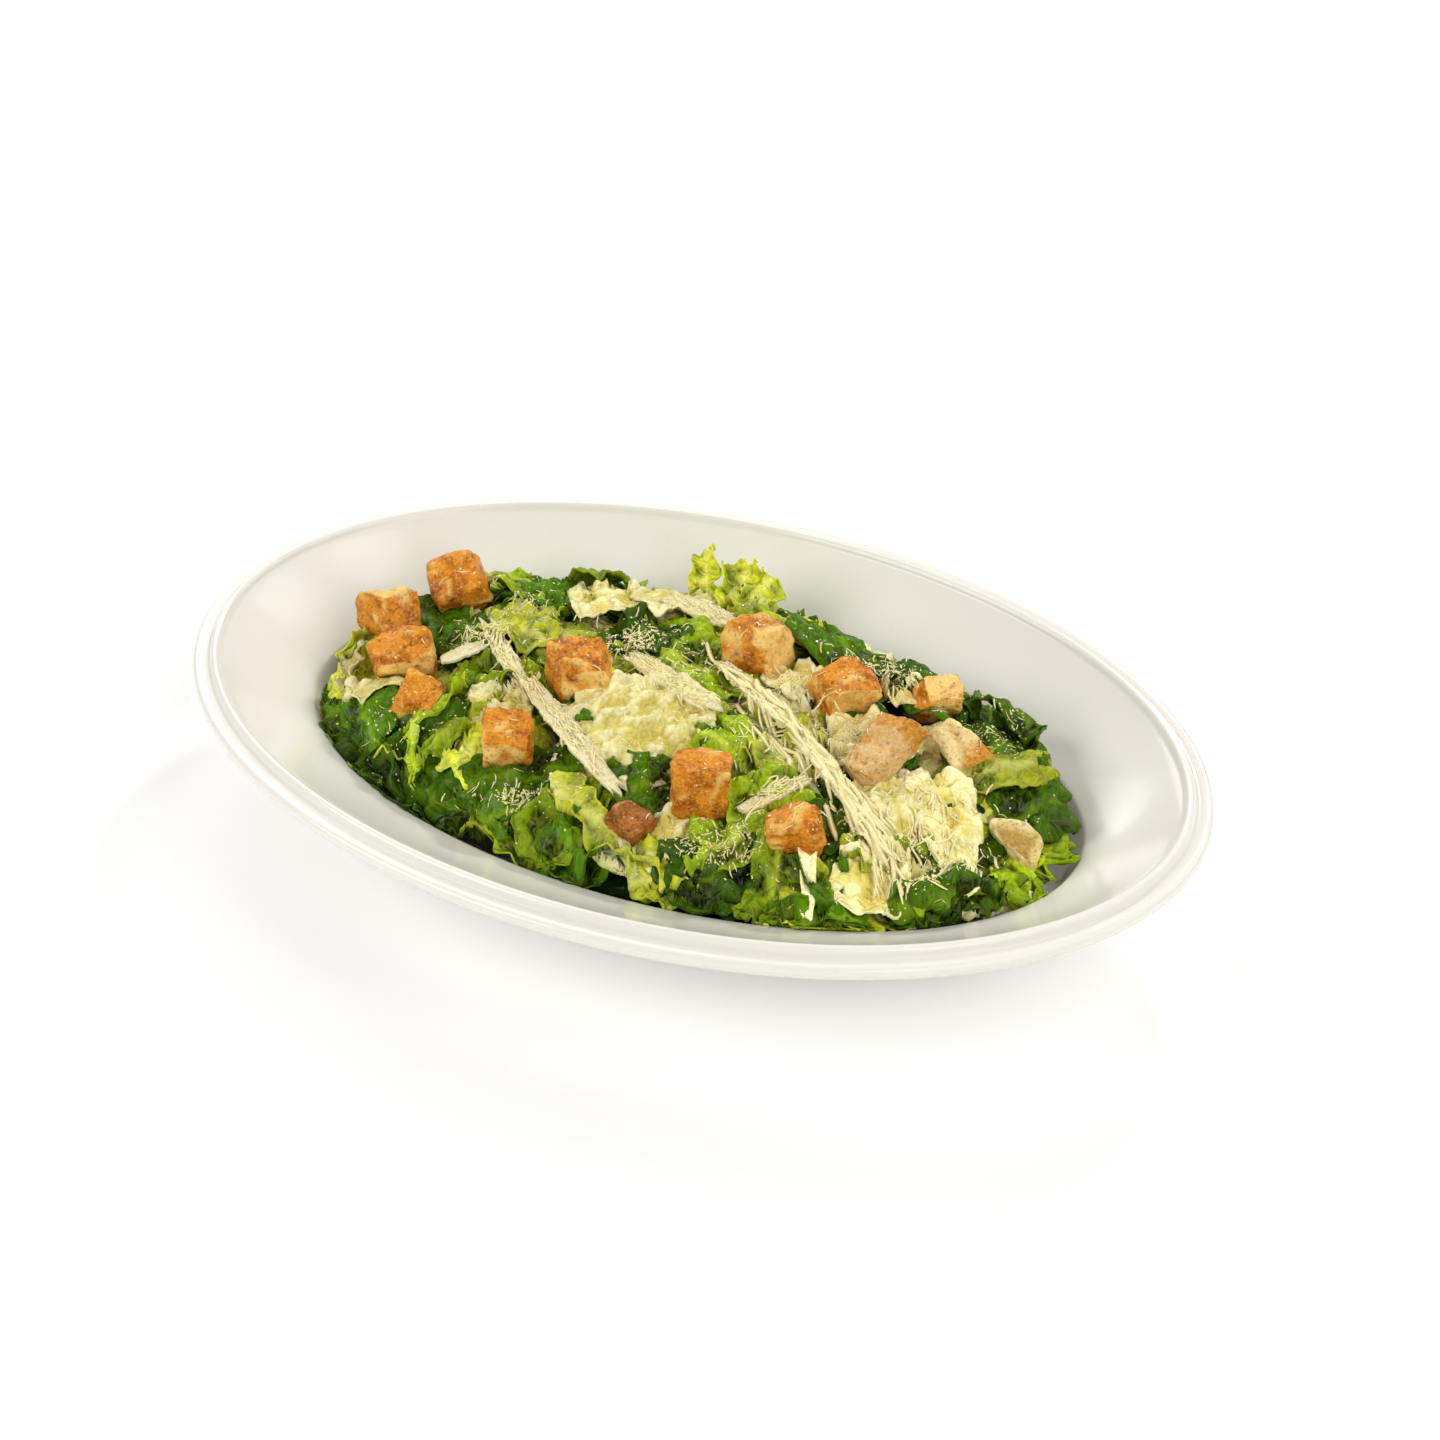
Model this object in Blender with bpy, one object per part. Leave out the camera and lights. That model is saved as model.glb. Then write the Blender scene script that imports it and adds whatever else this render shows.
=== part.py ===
"""Caesar salad in its oval rimmed bowl.

Metres, +Z up, origin at the middle of the foot's underside, +X along the bowl's length.
The bowl is a stack of oval rings. The lettuce is one uneven heap that fills its well and
leans on its far side. Croutons, bread and Parmesan shavings lie in pockets of the heap.
"""
import math
import random

import bmesh
import bpy
from mathutils import Euler, Matrix, Vector, noise

MM = 0.001
GAP = 0.3 * MM

# Bowl: half sizes of the outer edge, then heights above the table.
HALF_LENGTH = 160 * MM
HALF_WIDTH = 103.7 * MM
EDGE_HEIGHT = 43.5 * MM
BEAD_HEIGHT = 46.0 * MM
CREASE_HEIGHT = 25.8 * MM
FLOOR_HEIGHT = 7.0 * MM
BASE_HEIGHT = 3.0 * MM
# Bowl: how far in from the outer edge each feature of the section lies.
BEAD_INSET = 7.3 * MM
BEAD_HALF = 1.9 * MM
VERGE_INSET = 9.6 * MM
CREASE_INSET = 36.9 * MM
FLOOR_INSET = 63.0 * MM
FOOT_OUTER_INSET = 56.5 * MM
FOOT_INNER_INSET = 62.5 * MM
BOWL_SEGMENTS = 56

# Heap: the crease's oval is its unit circle.
WELL_LENGTH = HALF_LENGTH - CREASE_INSET
WELL_WIDTH = HALF_WIDTH - CREASE_INSET
HEAP_TOP = 46.5 * MM
SINK = 3.0 * MM
NEAR_EDGE_RISE = 2.0 * MM
FAR_EDGE_RISE = 13.0 * MM
NEAR_REACH = 0.965
FAR_LEAN = 0.06
CRUMPLE = 2.2 * MM
HEAP_SEGMENTS = 2 * BOWL_SEGMENTS
HEAP_RINGS = 9
POCKET_HEIGHT = 30 * MM

GLAZE = (0.90, 0.89, 0.84)
LETTUCE = (0.16, 0.33, 0.05)
TOAST = (0.66, 0.31, 0.09)
CRUMB = (0.82, 0.62, 0.42)
CHEESE = (0.90, 0.83, 0.62)

# Larger lettuce leaves that stand out of the heap.
# Middle x, y, half length, half width (mm), heading of the length (degrees), rise (mm).
LEAVES = (
    (-84, -38, 25, 17, 75, 6.0),
    (-112, -8, 14, 9, 80, 4.0),
    (-60, -44, 22, 8, 70, 6.0),
    (-57, -56, 14, 9, 20, 4.0),
    (-47, -40, 13, 11, 10, 5.0),
    (-22, -42, 24, 12, 15, 4.0),
    (-8, -55, 26, 10, -20, 6.0),
    (4, -61, 13, 8, 60, 5.0),
    (-8, -19, 25, 22, 20, 6.0),
    (-38, 44, 22, 14, 20, 5.0),
    (-78, 40, 18, 11, -5, 6.0),
    (-55, 53, 16, 10, 5, 6.0),
    (-72, 8, 16, 12, 30, 4.0),
    (-58, -12, 13, 12, 60, 5.0),
    (-10, 25, 24, 17, 35, 6.0),
    (24, -12, 20, 13, 80, 5.0),
    (-29, 63, 8, 6, 110, 14.0),
    (-13, 62, 10, 7, 100, 12.0),
    (10, 54, 18, 9, -5, 4.0),
    (32, 50, 17, 10, -15, 7.0),
    (54, 41, 15, 10, -50, 6.5),
    (87, 32, 18, 12, -60, 8.0),
    (97, 8, 16, 10, 10, 5.0),
    (110, 6, 14, 9, 60, 7.0),
    (36, -52, 26, 13, 15, 5.0),
    (56, -50, 15, 11, 85, 6.0),
    (74, -42, 13, 12, 70, 4.0),
    (80, -14, 18, 14, 80, 6.0),
    (97, -31, 22, 10, 25, 6.0),
    (57, 6, 16, 12, 10, 4.0),
)

# Toasted bread: name, middle x, y, z, then the three sides (mm), turns (degrees) and bend (mm).
CROUTONS = (
    ("crouton_1", (-91, 27, 46), (17, 16, 15), (20, -15, 35), 0),
    ("crouton_2", (-105, 8, 43), (14, 17, 14), (-25, 15, 60), 0),
    ("crouton_3", (-91, -9, 42), (19, 15, 13), (10, -12, 30), 0),
    ("crouton_4", (-77, -25, 42), (14, 13, 11), (15, 10, 10), 0),
    ("crouton_5", (-33, -4, 50), (18, 18, 18), (8, -8, 32), 0),
    ("crouton_6", (-41, -37, 46), (16, 14, 13), (12, 6, 22), 0),
    ("crouton_7", (11, 28, 51), (18, 17, 17), (-14, 22, 78), 0),
    ("crouton_8", (42, 20, 50), (17, 15, 15), (18, 8, 50), 0),
    ("crouton_9", (20, -35, 48), (18, 16, 17), (-6, 5, 26), 0),
    ("crouton_10", (51, -38, 43), (16, 13, 12), (5, -10, 20), 0),
    ("crouton_11", (67.5, 31, 47), (14, 11, 13), (20, 10, 40), 0),
    ("crouton_12", (5, -50, 38), (13, 12, 11), (10, 10, -20), 0),
    ("bread_slab", (63, -2, 49), (24, 17, 11), (-12, -20, 72), 0),
    ("bread_curl", (83, 11, 47), (25, 13, 7), (30, 25, -20), 4),
    ("bread_heel", (107, -12, 37), (18, 12, 8), (24, 10, 5), 2),
)
PALE_BREAD = ("bread_slab", "bread_curl", "bread_heel")

# Parmesan shavings: ends and bend of the middle line (mm), width (mm), rise above the heap (mm).
SHAVINGS = (
    ("parmesan_shaving_1", (-71, 10), (-61, -2), (-50, -12), 6.0, 3.0),
    ("parmesan_shaving_2", (-44, -15), (-30, -27), (-7, -42), 7.0, 4.4),
    ("parmesan_shaving_3", (-77, -10), (-73, -6), (-68, -1), 5.0, 4.4),
    ("parmesan_shaving_4", (-21, 8), (-9, 3), (7, -5), 7.5, 4.0),
    ("parmesan_shaving_5", (-24, 43), (-12, 40), (-3, 37), 8.0, 4.4),
    ("parmesan_shaving_6", (8, 13), (22, 4), (36, -4), 6.5, 4.4),
    ("parmesan_shaving_7", (41, -8), (56, -19), (74, -32), 6.5, 4.0),
    ("parmesan_shaving_8", (35, -37), (39, -30), (46, -21), 5.0, 3.0),
)
SHAVING_THICKNESS = 1.1 * MM
SHAVING_STEPS = 7


def clear_scene():
    for obj in list(bpy.data.objects):
        bpy.data.objects.remove(obj)


def material(name, colour, roughness):
    made = bpy.data.materials.new(name)
    made.use_nodes = True
    shader = made.node_tree.nodes["Principled BSDF"]
    shader.inputs["Base Color"].default_value = (*colour, 1)
    shader.inputs["Roughness"].default_value = roughness
    shader.inputs["Metallic"].default_value = 0
    made.diffuse_color = (*colour, 1)
    return made


def finished_object(name, bm, finish, sharp_angle=math.radians(40)):
    """Object from a closed bmesh, with its faces out and smooth shading."""
    bmesh.ops.recalc_face_normals(bm, faces=bm.faces)
    mesh = bpy.data.meshes.new(name)
    bm.to_mesh(mesh)
    bm.free()
    mesh.shade_smooth()
    mesh.set_sharp_from_angle(angle=sharp_angle)
    mesh.materials.append(finish)
    obj = bpy.data.objects.new(name, mesh)
    bpy.context.scene.collection.objects.link(obj)
    return obj


def smoothstep(low, high, value):
    t = min(max((value - low) / (high - low), 0), 1)
    return t * t * (3 - 2 * t)


def ring_body(bm, segments, rings):
    """Capped stack of rings. Each ring is a function that places the point at a given turn."""
    turn = bm.verts.layers.float.new("turn")
    verts = bmesh.ops.create_circle(bm, cap_ends=True, segments=segments, radius=1)["verts"]
    for vert in verts:
        vert[turn] = math.atan2(vert.co.y, vert.co.x)
        vert.co = rings[0](vert[turn])
    edges = list(bm.edges)
    for ring in rings[1:]:
        made = bmesh.ops.extrude_edge_only(bm, edges=edges)["geom"]
        edges = [item for item in made if isinstance(item, bmesh.types.BMEdge) and item.is_boundary]
        for vert in (item for item in made if isinstance(item, bmesh.types.BMVert)):
            vert.co = ring(vert[turn])
    bmesh.ops.edgeloop_fill(bm, edges=edges)


# Bowl


def oval(inset, height):
    """Ring of the bowl at this inset from its outer edge."""

    def place(turn):
        return Vector(
            (
                (HALF_LENGTH - inset) * math.cos(turn),
                (HALF_WIDTH - inset) * math.sin(turn),
                height,
            )
        )

    return place


def verge_height(inset):
    """Height of the broad sloping verge, slightly dished between bead and crease."""
    t = (inset - VERGE_INSET) / (CREASE_INSET - VERGE_INSET)
    straight = (EDGE_HEIGHT + 0.4 * MM) * (1 - t) + CREASE_HEIGHT * t
    return straight - 1.0 * MM * math.sin(math.pi * min(max(t, 0), 1))


def well_wall(steps):
    """Inset and height down the well's wall, steep at the crease and level at the floor."""
    start = math.radians(20)
    points = []
    for step in range(1, steps + 1):
        angle = start + (math.pi / 2 - start) * step / steps
        across = (math.cos(start) - math.cos(angle)) / math.cos(start)
        down = (1 - math.sin(angle)) / (1 - math.sin(start))
        inset = CREASE_INSET + (FLOOR_INSET - CREASE_INSET) * across
        points.append((inset, FLOOR_HEIGHT + (CREASE_HEIGHT - FLOOR_HEIGHT) * down))
    return points


def bowl_section():
    """(inset, height) from the middle of the underside, round the rim, to the middle of the floor."""
    underside = [
        (FOOT_INNER_INSET + 6 * MM, BASE_HEIGHT),
        (FOOT_INNER_INSET + 0.8 * MM, BASE_HEIGHT),
        (FOOT_INNER_INSET, 0),
        (FOOT_OUTER_INSET + 0.8 * MM, 0),
        (FOOT_OUTER_INSET, 0.8 * MM),
        (FOOT_OUTER_INSET - 1.2 * MM, BASE_HEIGHT + 0.6 * MM),
        (48.5 * MM, 5.0 * MM),
        (41.5 * MM, 9.6 * MM),
        (37.0 * MM, 15.8 * MM),
        (33.0 * MM, 21.6 * MM),
        (10.0 * MM, 37.2 * MM),
        (3.2 * MM, 38.4 * MM),
    ]
    edge = [
        (0.7 * MM, 39.3 * MM),
        (0, 41.2 * MM),
        (0.6 * MM, EDGE_HEIGHT - 0.5 * MM),
        (1.8 * MM, EDGE_HEIGHT),
    ]
    bead = []
    for degrees in (0, 50, 90, 130):
        angle = math.radians(degrees)
        inset = BEAD_INSET - BEAD_HALF * math.cos(angle)
        bead.append((inset, EDGE_HEIGHT + (BEAD_HEIGHT - EDGE_HEIGHT) * math.sin(angle)))
    verge = [(VERGE_INSET + step * MM, verge_height(VERGE_INSET + step * MM)) for step in (0, 10, 19)]
    crease = [(CREASE_INSET - 0.8 * MM, CREASE_HEIGHT + 0.3 * MM), (CREASE_INSET, CREASE_HEIGHT - 0.4 * MM)]
    return underside + edge + bead + verge + crease + well_wall(4)


def make_bowl():
    bm = bmesh.new()
    ring_body(bm, BOWL_SEGMENTS, [oval(inset, height) for inset, height in bowl_section()])
    return finished_object("bowl", bm, material("porcelain", GLAZE, 0.15))


# Lettuce heap


def farness(x, y):
    """-1 on the bowl's near long side, +1 on its far long side."""
    along = x / WELL_LENGTH
    across = y / WELL_WIDTH
    return across / max(math.hypot(along, across), 0.3)


def far_share(x, y):
    return smoothstep(-0.35, 0.75, farness(x, y))


def leaf_rise(x, y):
    """How far the highest of the large leaves stands out of the heap here."""
    best = 0
    for middle_x, middle_y, half_length, half_width, heading, rise in LEAVES:
        angle = math.radians(heading)
        dx = x - middle_x * MM
        dy = y - middle_y * MM
        along = (dx * math.cos(angle) + dy * math.sin(angle)) / (half_length * MM)
        across = (dy * math.cos(angle) - dx * math.sin(angle)) / (half_width * MM)
        inside = 1 - along**2 - across**2
        if inside > 0:
            fold = 1 - 0.35 * abs(across)
            shingle = 1 + 0.6 * along
            best = max(best, rise * MM * min(1, 4 * inside) * fold * shingle)
    return best


def heap_dome(x, y):
    """Smooth height of the heap, without its leaves."""
    radius = min(math.hypot(x / WELL_LENGTH, y / WELL_WIDTH), 1)
    rise = NEAR_EDGE_RISE + (FAR_EDGE_RISE - NEAR_EDGE_RISE) * far_share(x, y)
    edge = CREASE_HEIGHT + rise
    return edge + (HEAP_TOP - edge) * (1 - radius**2.4)


def heap_height(x, y):
    crumple = CRUMPLE * noise.noise(Vector((x, y, 0)) / (9 * MM))
    return heap_dome(x, y) - SINK + leaf_rise(x, y) + crumple


def heap_reach(turn):
    """Radius of the heap's uneven outline, 1 at the bowl's crease."""
    along = math.cos(turn)
    across = math.sin(turn)
    uneven = 0.02 * noise.noise(Vector((along, across, 0.3)) * 9)
    far = far_share(along * WELL_LENGTH, across * WELL_WIDTH)
    return NEAR_REACH + uneven + FAR_LEAN * far


def heap_wall(inset, height):
    """Ring of the heap against the bowl, a gap inside it."""
    return oval(inset + GAP, height + GAP)


def heap_edge(level):
    """Ring at the heap's outline: level 0 just over the bowl, level 1 at the leaves' edge."""

    def place(turn):
        reach = heap_reach(turn)
        x = reach * WELL_LENGTH * math.cos(turn)
        y = reach * WELL_WIDTH * math.sin(turn)
        outside = max(1 - 1 / reach, 0) * math.hypot(x, y)
        low = CREASE_HEIGHT - 0.6 * MM + 0.8 * outside + 1.2 * MM * smoothstep(0.97, 1.01, reach)
        high = max(heap_height(x, y), low + 1.0 * MM)
        return Vector((x, y, low + (high - low) * level))

    return place


def heap_top(share):
    """Ring on the heap's top, at this share of its outline's radius."""

    def place(turn):
        reach = heap_reach(turn) * share
        x = reach * WELL_LENGTH * math.cos(turn)
        y = reach * WELL_WIDTH * math.sin(turn)
        return Vector((x, y, heap_height(x, y)))

    return place


def make_heap():
    wall = [heap_wall(inset, height) for inset, height in reversed(well_wall(2))]
    below_crease = oval(CREASE_INSET + 1.6 * MM, CREASE_HEIGHT - 1.8 * MM)
    edge = [heap_edge(0), heap_edge(0.6)]
    shares = [math.sin(math.pi / 2 * (1 - step / HEAP_RINGS)) ** 0.8 for step in range(HEAP_RINGS)]
    rings = wall + [below_crease] + edge + [heap_top(share) for share in shares]
    bm = bmesh.new()
    ring_body(bm, HEAP_SEGMENTS, rings)
    return finished_object("lettuce_heap", bm, material("lettuce", LETTUCE, 0.45), math.radians(22))


# Bread


def bread_mesh(sides, bend, seed):
    """Uneven block of torn and toasted bread, with its corners knocked off, arched by its bend."""
    random.seed(seed)
    bm = bmesh.new()
    bmesh.ops.create_cube(bm, size=2)
    bmesh.ops.subdivide_edges(bm, edges=bm.edges, cuts=2, use_grid_fill=True)
    half = Vector(sides) * MM / 2
    for vert in bm.verts:
        corner = max(0, vert.co.length - 1.25)
        vert.co *= 1 - 0.28 * corner
        for axis in range(3):
            vert.co[axis] *= half[axis] * random.uniform(0.93, 1.04)
        vert.co.z -= bend * MM * (vert.co.x / half.x) ** 2
    return bm


def make_bread():
    toast = material("toast", TOAST, 0.6)
    crumb = material("crumb", CRUMB, 0.75)
    pieces = []
    for seed, (name, middle, sides, turns, bend) in enumerate(CROUTONS):
        finish = crumb if name in PALE_BREAD else toast
        piece = finished_object(name, bread_mesh(sides, bend, seed), finish, math.radians(60))
        piece.location = Vector(middle) * MM
        piece.rotation_euler = Euler([math.radians(turn) for turn in turns])
        pieces.append(piece)
    return pieces


# Parmesan


def shaving_sheet(ends, width, rise, margin, sink):
    """Open curved strip: a grid laid along a bent middle line over the heap."""
    start, bend, end = (Vector((x * MM, y * MM)) for x, y in ends)
    bm = bmesh.new()
    bmesh.ops.create_grid(bm, x_segments=SHAVING_STEPS, y_segments=2, size=1)
    length = (end - start).length
    for vert in bm.verts:
        t = (vert.co.x + 1) / 2
        t += margin / length * vert.co.x
        side = vert.co.y
        middle = start * (1 - t) ** 2 + bend * 2 * t * (1 - t) + end * t**2
        ahead = (bend - start) * (1 - t) + (end - bend) * t
        across = Vector((-ahead.y, ahead.x)).normalized()
        taper = 1 - 0.35 * (2 * t - 1) ** 4
        spot = middle + across * side * (width * MM / 2 * taper + margin)
        low = heap_dome(start.x, start.y) * (1 - t) + heap_dome(end.x, end.y) * t
        arch = heap_dome(bend.x, bend.y) - (heap_dome(start.x, start.y) + heap_dome(end.x, end.y)) / 2
        height = low + max(arch, 0) * 4 * t * (1 - t) * 0.8 + rise * MM + 0.7 * MM * side * side
        vert.co = Vector((spot.x, spot.y, height - sink))
    return bm


def thickened(bm, up):
    """Closes an open strip into a body of this height."""
    made = bmesh.ops.extrude_face_region(bm, geom=bm.faces[:])["geom"]
    verts = [item for item in made if isinstance(item, bmesh.types.BMVert)]
    bmesh.ops.translate(bm, verts=verts, vec=(0, 0, up))
    return bm


def make_shavings():
    cheese = material("parmesan", CHEESE, 0.5)
    pieces = []
    for name, start, bend, end, width, rise in SHAVINGS:
        bm = thickened(shaving_sheet((start, bend, end), width, rise, 0, 0), SHAVING_THICKNESS)
        pieces.append(finished_object(name, bm, cheese))
    return pieces


# Pockets that the toppings lie in


def pocket(name, bm):
    cutter = finished_object(name, bm, bpy.data.materials["lettuce"])
    cutter.hide_render = True
    cutter.display_type = "WIRE"
    return cutter


def bread_pocket(piece):
    """Hull of the piece with its gap, carried straight up so that nothing is left above it."""
    bpy.context.view_layer.update()
    bm = bmesh.new()
    bm.from_mesh(piece.data)
    size = piece.dimensions
    grow = Matrix.Diagonal([1 + 2.4 * GAP / side for side in size]).to_4x4()
    bmesh.ops.transform(bm, matrix=piece.matrix_world @ grow, verts=bm.verts)
    raised = bmesh.ops.duplicate(bm, geom=bm.verts[:] + bm.edges[:] + bm.faces[:])["geom"]
    lifted = [item for item in raised if isinstance(item, bmesh.types.BMVert)]
    bmesh.ops.translate(bm, verts=lifted, vec=(0, 0, POCKET_HEIGHT))
    hull = bmesh.ops.convex_hull(bm, input=bm.verts)
    unused = {item for item in hull["geom_interior"] + hull["geom_unused"] + hull["geom_holes"]}
    bmesh.ops.delete(bm, geom=[item for item in unused if isinstance(item, bmesh.types.BMVert)])
    keep = {item for item in hull["geom"] if isinstance(item, bmesh.types.BMFace)}
    bmesh.ops.delete(bm, geom=[face for face in bm.faces if face not in keep], context="FACES_ONLY")
    loose = [edge for edge in bm.edges if not edge.link_faces]
    bmesh.ops.delete(bm, geom=loose, context="EDGES")
    return pocket(piece.name + "_pocket", bm)


def cut_pockets(heap, bread):
    cutters = [bread_pocket(piece) for piece in bread]
    for name, start, bend, end, width, rise in SHAVINGS:
        sheet = shaving_sheet((start, bend, end), width, rise, GAP, GAP)
        cutters.append(pocket(name + "_pocket", thickened(sheet, POCKET_HEIGHT)))
    for cutter in cutters:
        cut = heap.modifiers.new(cutter.name, "BOOLEAN")
        cut.operation = "DIFFERENCE"
        cut.object = cutter


clear_scene()
make_bowl()
lettuce = make_heap()
bread_pieces = make_bread()
make_shavings()
cut_pockets(lettuce, bread_pieces)
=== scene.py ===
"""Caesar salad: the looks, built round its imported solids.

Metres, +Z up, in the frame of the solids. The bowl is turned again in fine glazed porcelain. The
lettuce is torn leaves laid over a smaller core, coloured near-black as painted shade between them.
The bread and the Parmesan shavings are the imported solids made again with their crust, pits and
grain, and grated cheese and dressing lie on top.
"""

import math
import random

import bmesh
import bpy
from mathutils import Euler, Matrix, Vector, noise
from mathutils.bvhtree import BVHTree


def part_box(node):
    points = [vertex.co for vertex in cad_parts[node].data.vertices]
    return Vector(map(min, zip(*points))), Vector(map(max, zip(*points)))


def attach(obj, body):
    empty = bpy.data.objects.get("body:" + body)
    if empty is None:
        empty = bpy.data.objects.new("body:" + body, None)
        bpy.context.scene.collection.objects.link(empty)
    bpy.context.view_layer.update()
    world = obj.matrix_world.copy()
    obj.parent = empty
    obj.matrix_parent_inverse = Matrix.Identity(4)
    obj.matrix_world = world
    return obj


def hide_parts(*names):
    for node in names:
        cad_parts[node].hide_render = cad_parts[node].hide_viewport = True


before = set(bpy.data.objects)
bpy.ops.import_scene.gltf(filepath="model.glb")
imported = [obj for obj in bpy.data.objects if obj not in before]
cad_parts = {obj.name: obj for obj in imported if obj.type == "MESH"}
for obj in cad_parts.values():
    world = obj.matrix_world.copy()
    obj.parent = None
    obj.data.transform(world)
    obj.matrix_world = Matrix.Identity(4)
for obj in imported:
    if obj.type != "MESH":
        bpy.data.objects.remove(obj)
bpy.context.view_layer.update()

MM = 0.001
UP = Vector((0, 0, 1))

# Bowl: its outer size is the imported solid's, and its section is given as insets from the edge.
BOWL_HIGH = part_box("bowl")[1]
HALF_LENGTH = BOWL_HIGH.x
HALF_WIDTH = BOWL_HIGH.y
BEAD_HEIGHT = BOWL_HIGH.z
EDGE_HEIGHT = BEAD_HEIGHT - 2.5 * MM
CREASE_HEIGHT = BEAD_HEIGHT - 20.2 * MM
FLOOR_HEIGHT = 7.0 * MM
BEAD_INSET = 7.3 * MM
BEAD_HALF = 1.9 * MM
VERGE_INSET = 9.6 * MM
CREASE_INSET = 36.9 * MM
FLOOR_INSET = 63.0 * MM
BOWL_SEGMENTS = 80
BOWL_SMOOTHING = 2
WALL_START = math.radians(20)
VERGE_SLOPE = 0.66
VERGE_DISH = 1.0 * MM

# Bowl's section as (inset, height) in mm: its outside from the middle of the foot to the edge, the
# edge's top against EDGE_HEIGHT, and the rounding of the crease against the crease.
UNDERSIDE = (
    (70.5, 3.0), (64.1, 3.0), (63.1, 2.6), (62.5, 1.2), (62.2, 0.15), (61.3, 0), (57.7, 0),
    (56.8, 0.2), (56.5, 1.4), (55.3, 3.6), (48.5, 5.0), (41.5, 9.6), (37.0, 15.8), (33.0, 21.6),
    (22.0, 29.3), (10.0, 37.0), (5.0, 38.2), (2.2, 38.6), (0.5, 39.6), (0, 41.2),
)
EDGE = ((0.3, -0.8), (1.4, 0.1), (3.0, -0.1), (4.8, -0.35))
CREASE = ((-0.9, 0.45), (-0.1, -0.3))
BEAD_TURNS = (0, 40, 70, 90, 110, 140, 172)
VERGE_STEPS = (0.6, 3, 8, 13, 18, 22.5, 25.2)
WALL_SHARES = (0.1, 0.3, 0.5, 0.7, 0.86, 1.0)

# Heap: the crease's oval is its unit circle.
WELL_LENGTH = HALF_LENGTH - CREASE_INSET
WELL_WIDTH = HALF_WIDTH - CREASE_INSET
HEAP_TOP = BEAD_HEIGHT + 0.5 * MM
HEAP_POWER = 2.4
NEAR_EDGE_RISE = 2.0 * MM
FAR_EDGE_RISE = 13.0 * MM
CORE_DEPTH = 7.0 * MM
CORE_EDGE_DEPTH = 6.0 * MM
CORE_REACH = 0.90
CORE_BASE = (0.72, 0.62)
CORE_CLEARANCE = 0.5 * MM
CORE_SEGMENTS = 160
CORE_RINGS = 26

# Leaves.
LEAF_THICKNESS = 0.5 * MM
TONE_RANGE = (0.66, 1.36)
LEAF_GRID = 0.95 * MM
FILLER_GRID = 1.5 * MM
LEAF_CLEARANCE = 0.6 * MM
SEAL_GAP = 0.7 * MM
LEAF_REACH = (1.03, 1.065)
HIGH_LIFT = 3
HIGH_REACH = 0.02
SQUEEZE = 0.19
# Places where the heap's edge draws back or stands out: turn and half width (degrees), and by what
# share of its reach.
EDGE_SHIFTS = ((-112, 6, -0.05), (-40, 14, 0.035))
EDGE_BULGE = 0.05
EDGE_LUMP = 5 * MM
PILE_CELL = 1.4 * MM
PILE_GAP = 0.7 * MM
PILE_DRAPE = 3.0 * MM

# Bread and cheese.
CUTS = 6
JOIN = 0.01 * MM
CORNER_WEAR = 2
WARP = 2.2 * MM
WARP_LUMP = 13 * MM
WARP_SHIFTS = (Vector((0, 0, 0)), Vector((31, 0, 0)), Vector((0, 47, 0)))
HEEL_HALF = (9 * MM, 6 * MM)
HEEL_CUT = Vector((0.57, 0.82, 0))

# Scattered things.
SKY = 200 * MM
SCATTER_REACH = 0.97
STRAND_STEPS = 5
STRAND_SIDES = 4
STRAND_SLOPE = 0.8
BREAD_SHARE = 0.15
DRESSING_DROPS = 150

# Stage.
FLOOR_HALF = 4.0
FLOOR_GLOW = 0.12
SKY_GLOW = 0.03
TARGET = Vector((10.7 * MM, -0.7 * MM, EDGE_HEIGHT))
LIGHT_DISTANCE = 1.23
CAMERA_TURN = math.radians(23.68)
CAMERA_RISE = math.radians(38)
CAMERA_DISTANCE = 0.9
CAMERA_LENS = 75.8
CAMERA_SENSOR = 36
CAMERA_NEAREST = 0.01


def smoothstep(low, high, value):
    """0 at low, 1 at high, eased at both."""
    t = min(max((value - low) / (high - low), 0), 1)
    return t * t * (3 - 2 * t)


def paint(*display):
    """Scene colour of a display colour, red, green and blue from 0 to 255."""
    return tuple(((part / 255 + 0.055) / 1.055) ** 2.4 if part > 10 else part / 3295 for part in display)


# Shader nodes


def put(tree, kind, inputs=None, **settings):
    """New node with its settings. Each named input is linked from a socket, or set to a value."""
    node = tree.nodes.new(kind)
    for name, value in settings.items():
        setattr(node, name, value)
    for name, value in (inputs or {}).items():
        if isinstance(value, bpy.types.NodeSocket):
            tree.links.new(value, node.inputs[name])
        else:
            node.inputs[name].default_value = value
    return node


def new_group(name, kind, inputs, outputs):
    """Node group whose inputs are of this kind and whose outputs are values."""
    tree = bpy.data.node_groups.new(name, "ShaderNodeTree")
    for title in inputs:
        tree.interface.new_socket(title, in_out="INPUT", socket_type=kind)
    for title in outputs:
        tree.interface.new_socket(title, in_out="OUTPUT", socket_type="NodeSocketFloat")
    return tree, put(tree, "NodeGroupInput").outputs


def give_out(tree, **values):
    """Group finished, with these values at its outputs."""
    put(tree, "NodeGroupOutput", values)
    return tree


def ramped(tree, value, low, high, start=0.0, end=1.0):
    """Value carried smoothly from start at low to end at high."""
    inputs = {0: value, 1: low, 2: high, 3: start, 4: end}
    return put(tree, "ShaderNodeMapRange", inputs, interpolation_type="SMOOTHSTEP").outputs[0]


def worked(tree, operation, first, second):
    """Two values joined by this operation."""
    return put(tree, "ShaderNodeMath", {0: first, 1: second}, operation=operation).outputs[0]


def times(tree, first, second):
    return worked(tree, "MULTIPLY", first, second)


def plus(tree, first, second):
    return worked(tree, "ADD", first, second)


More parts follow.
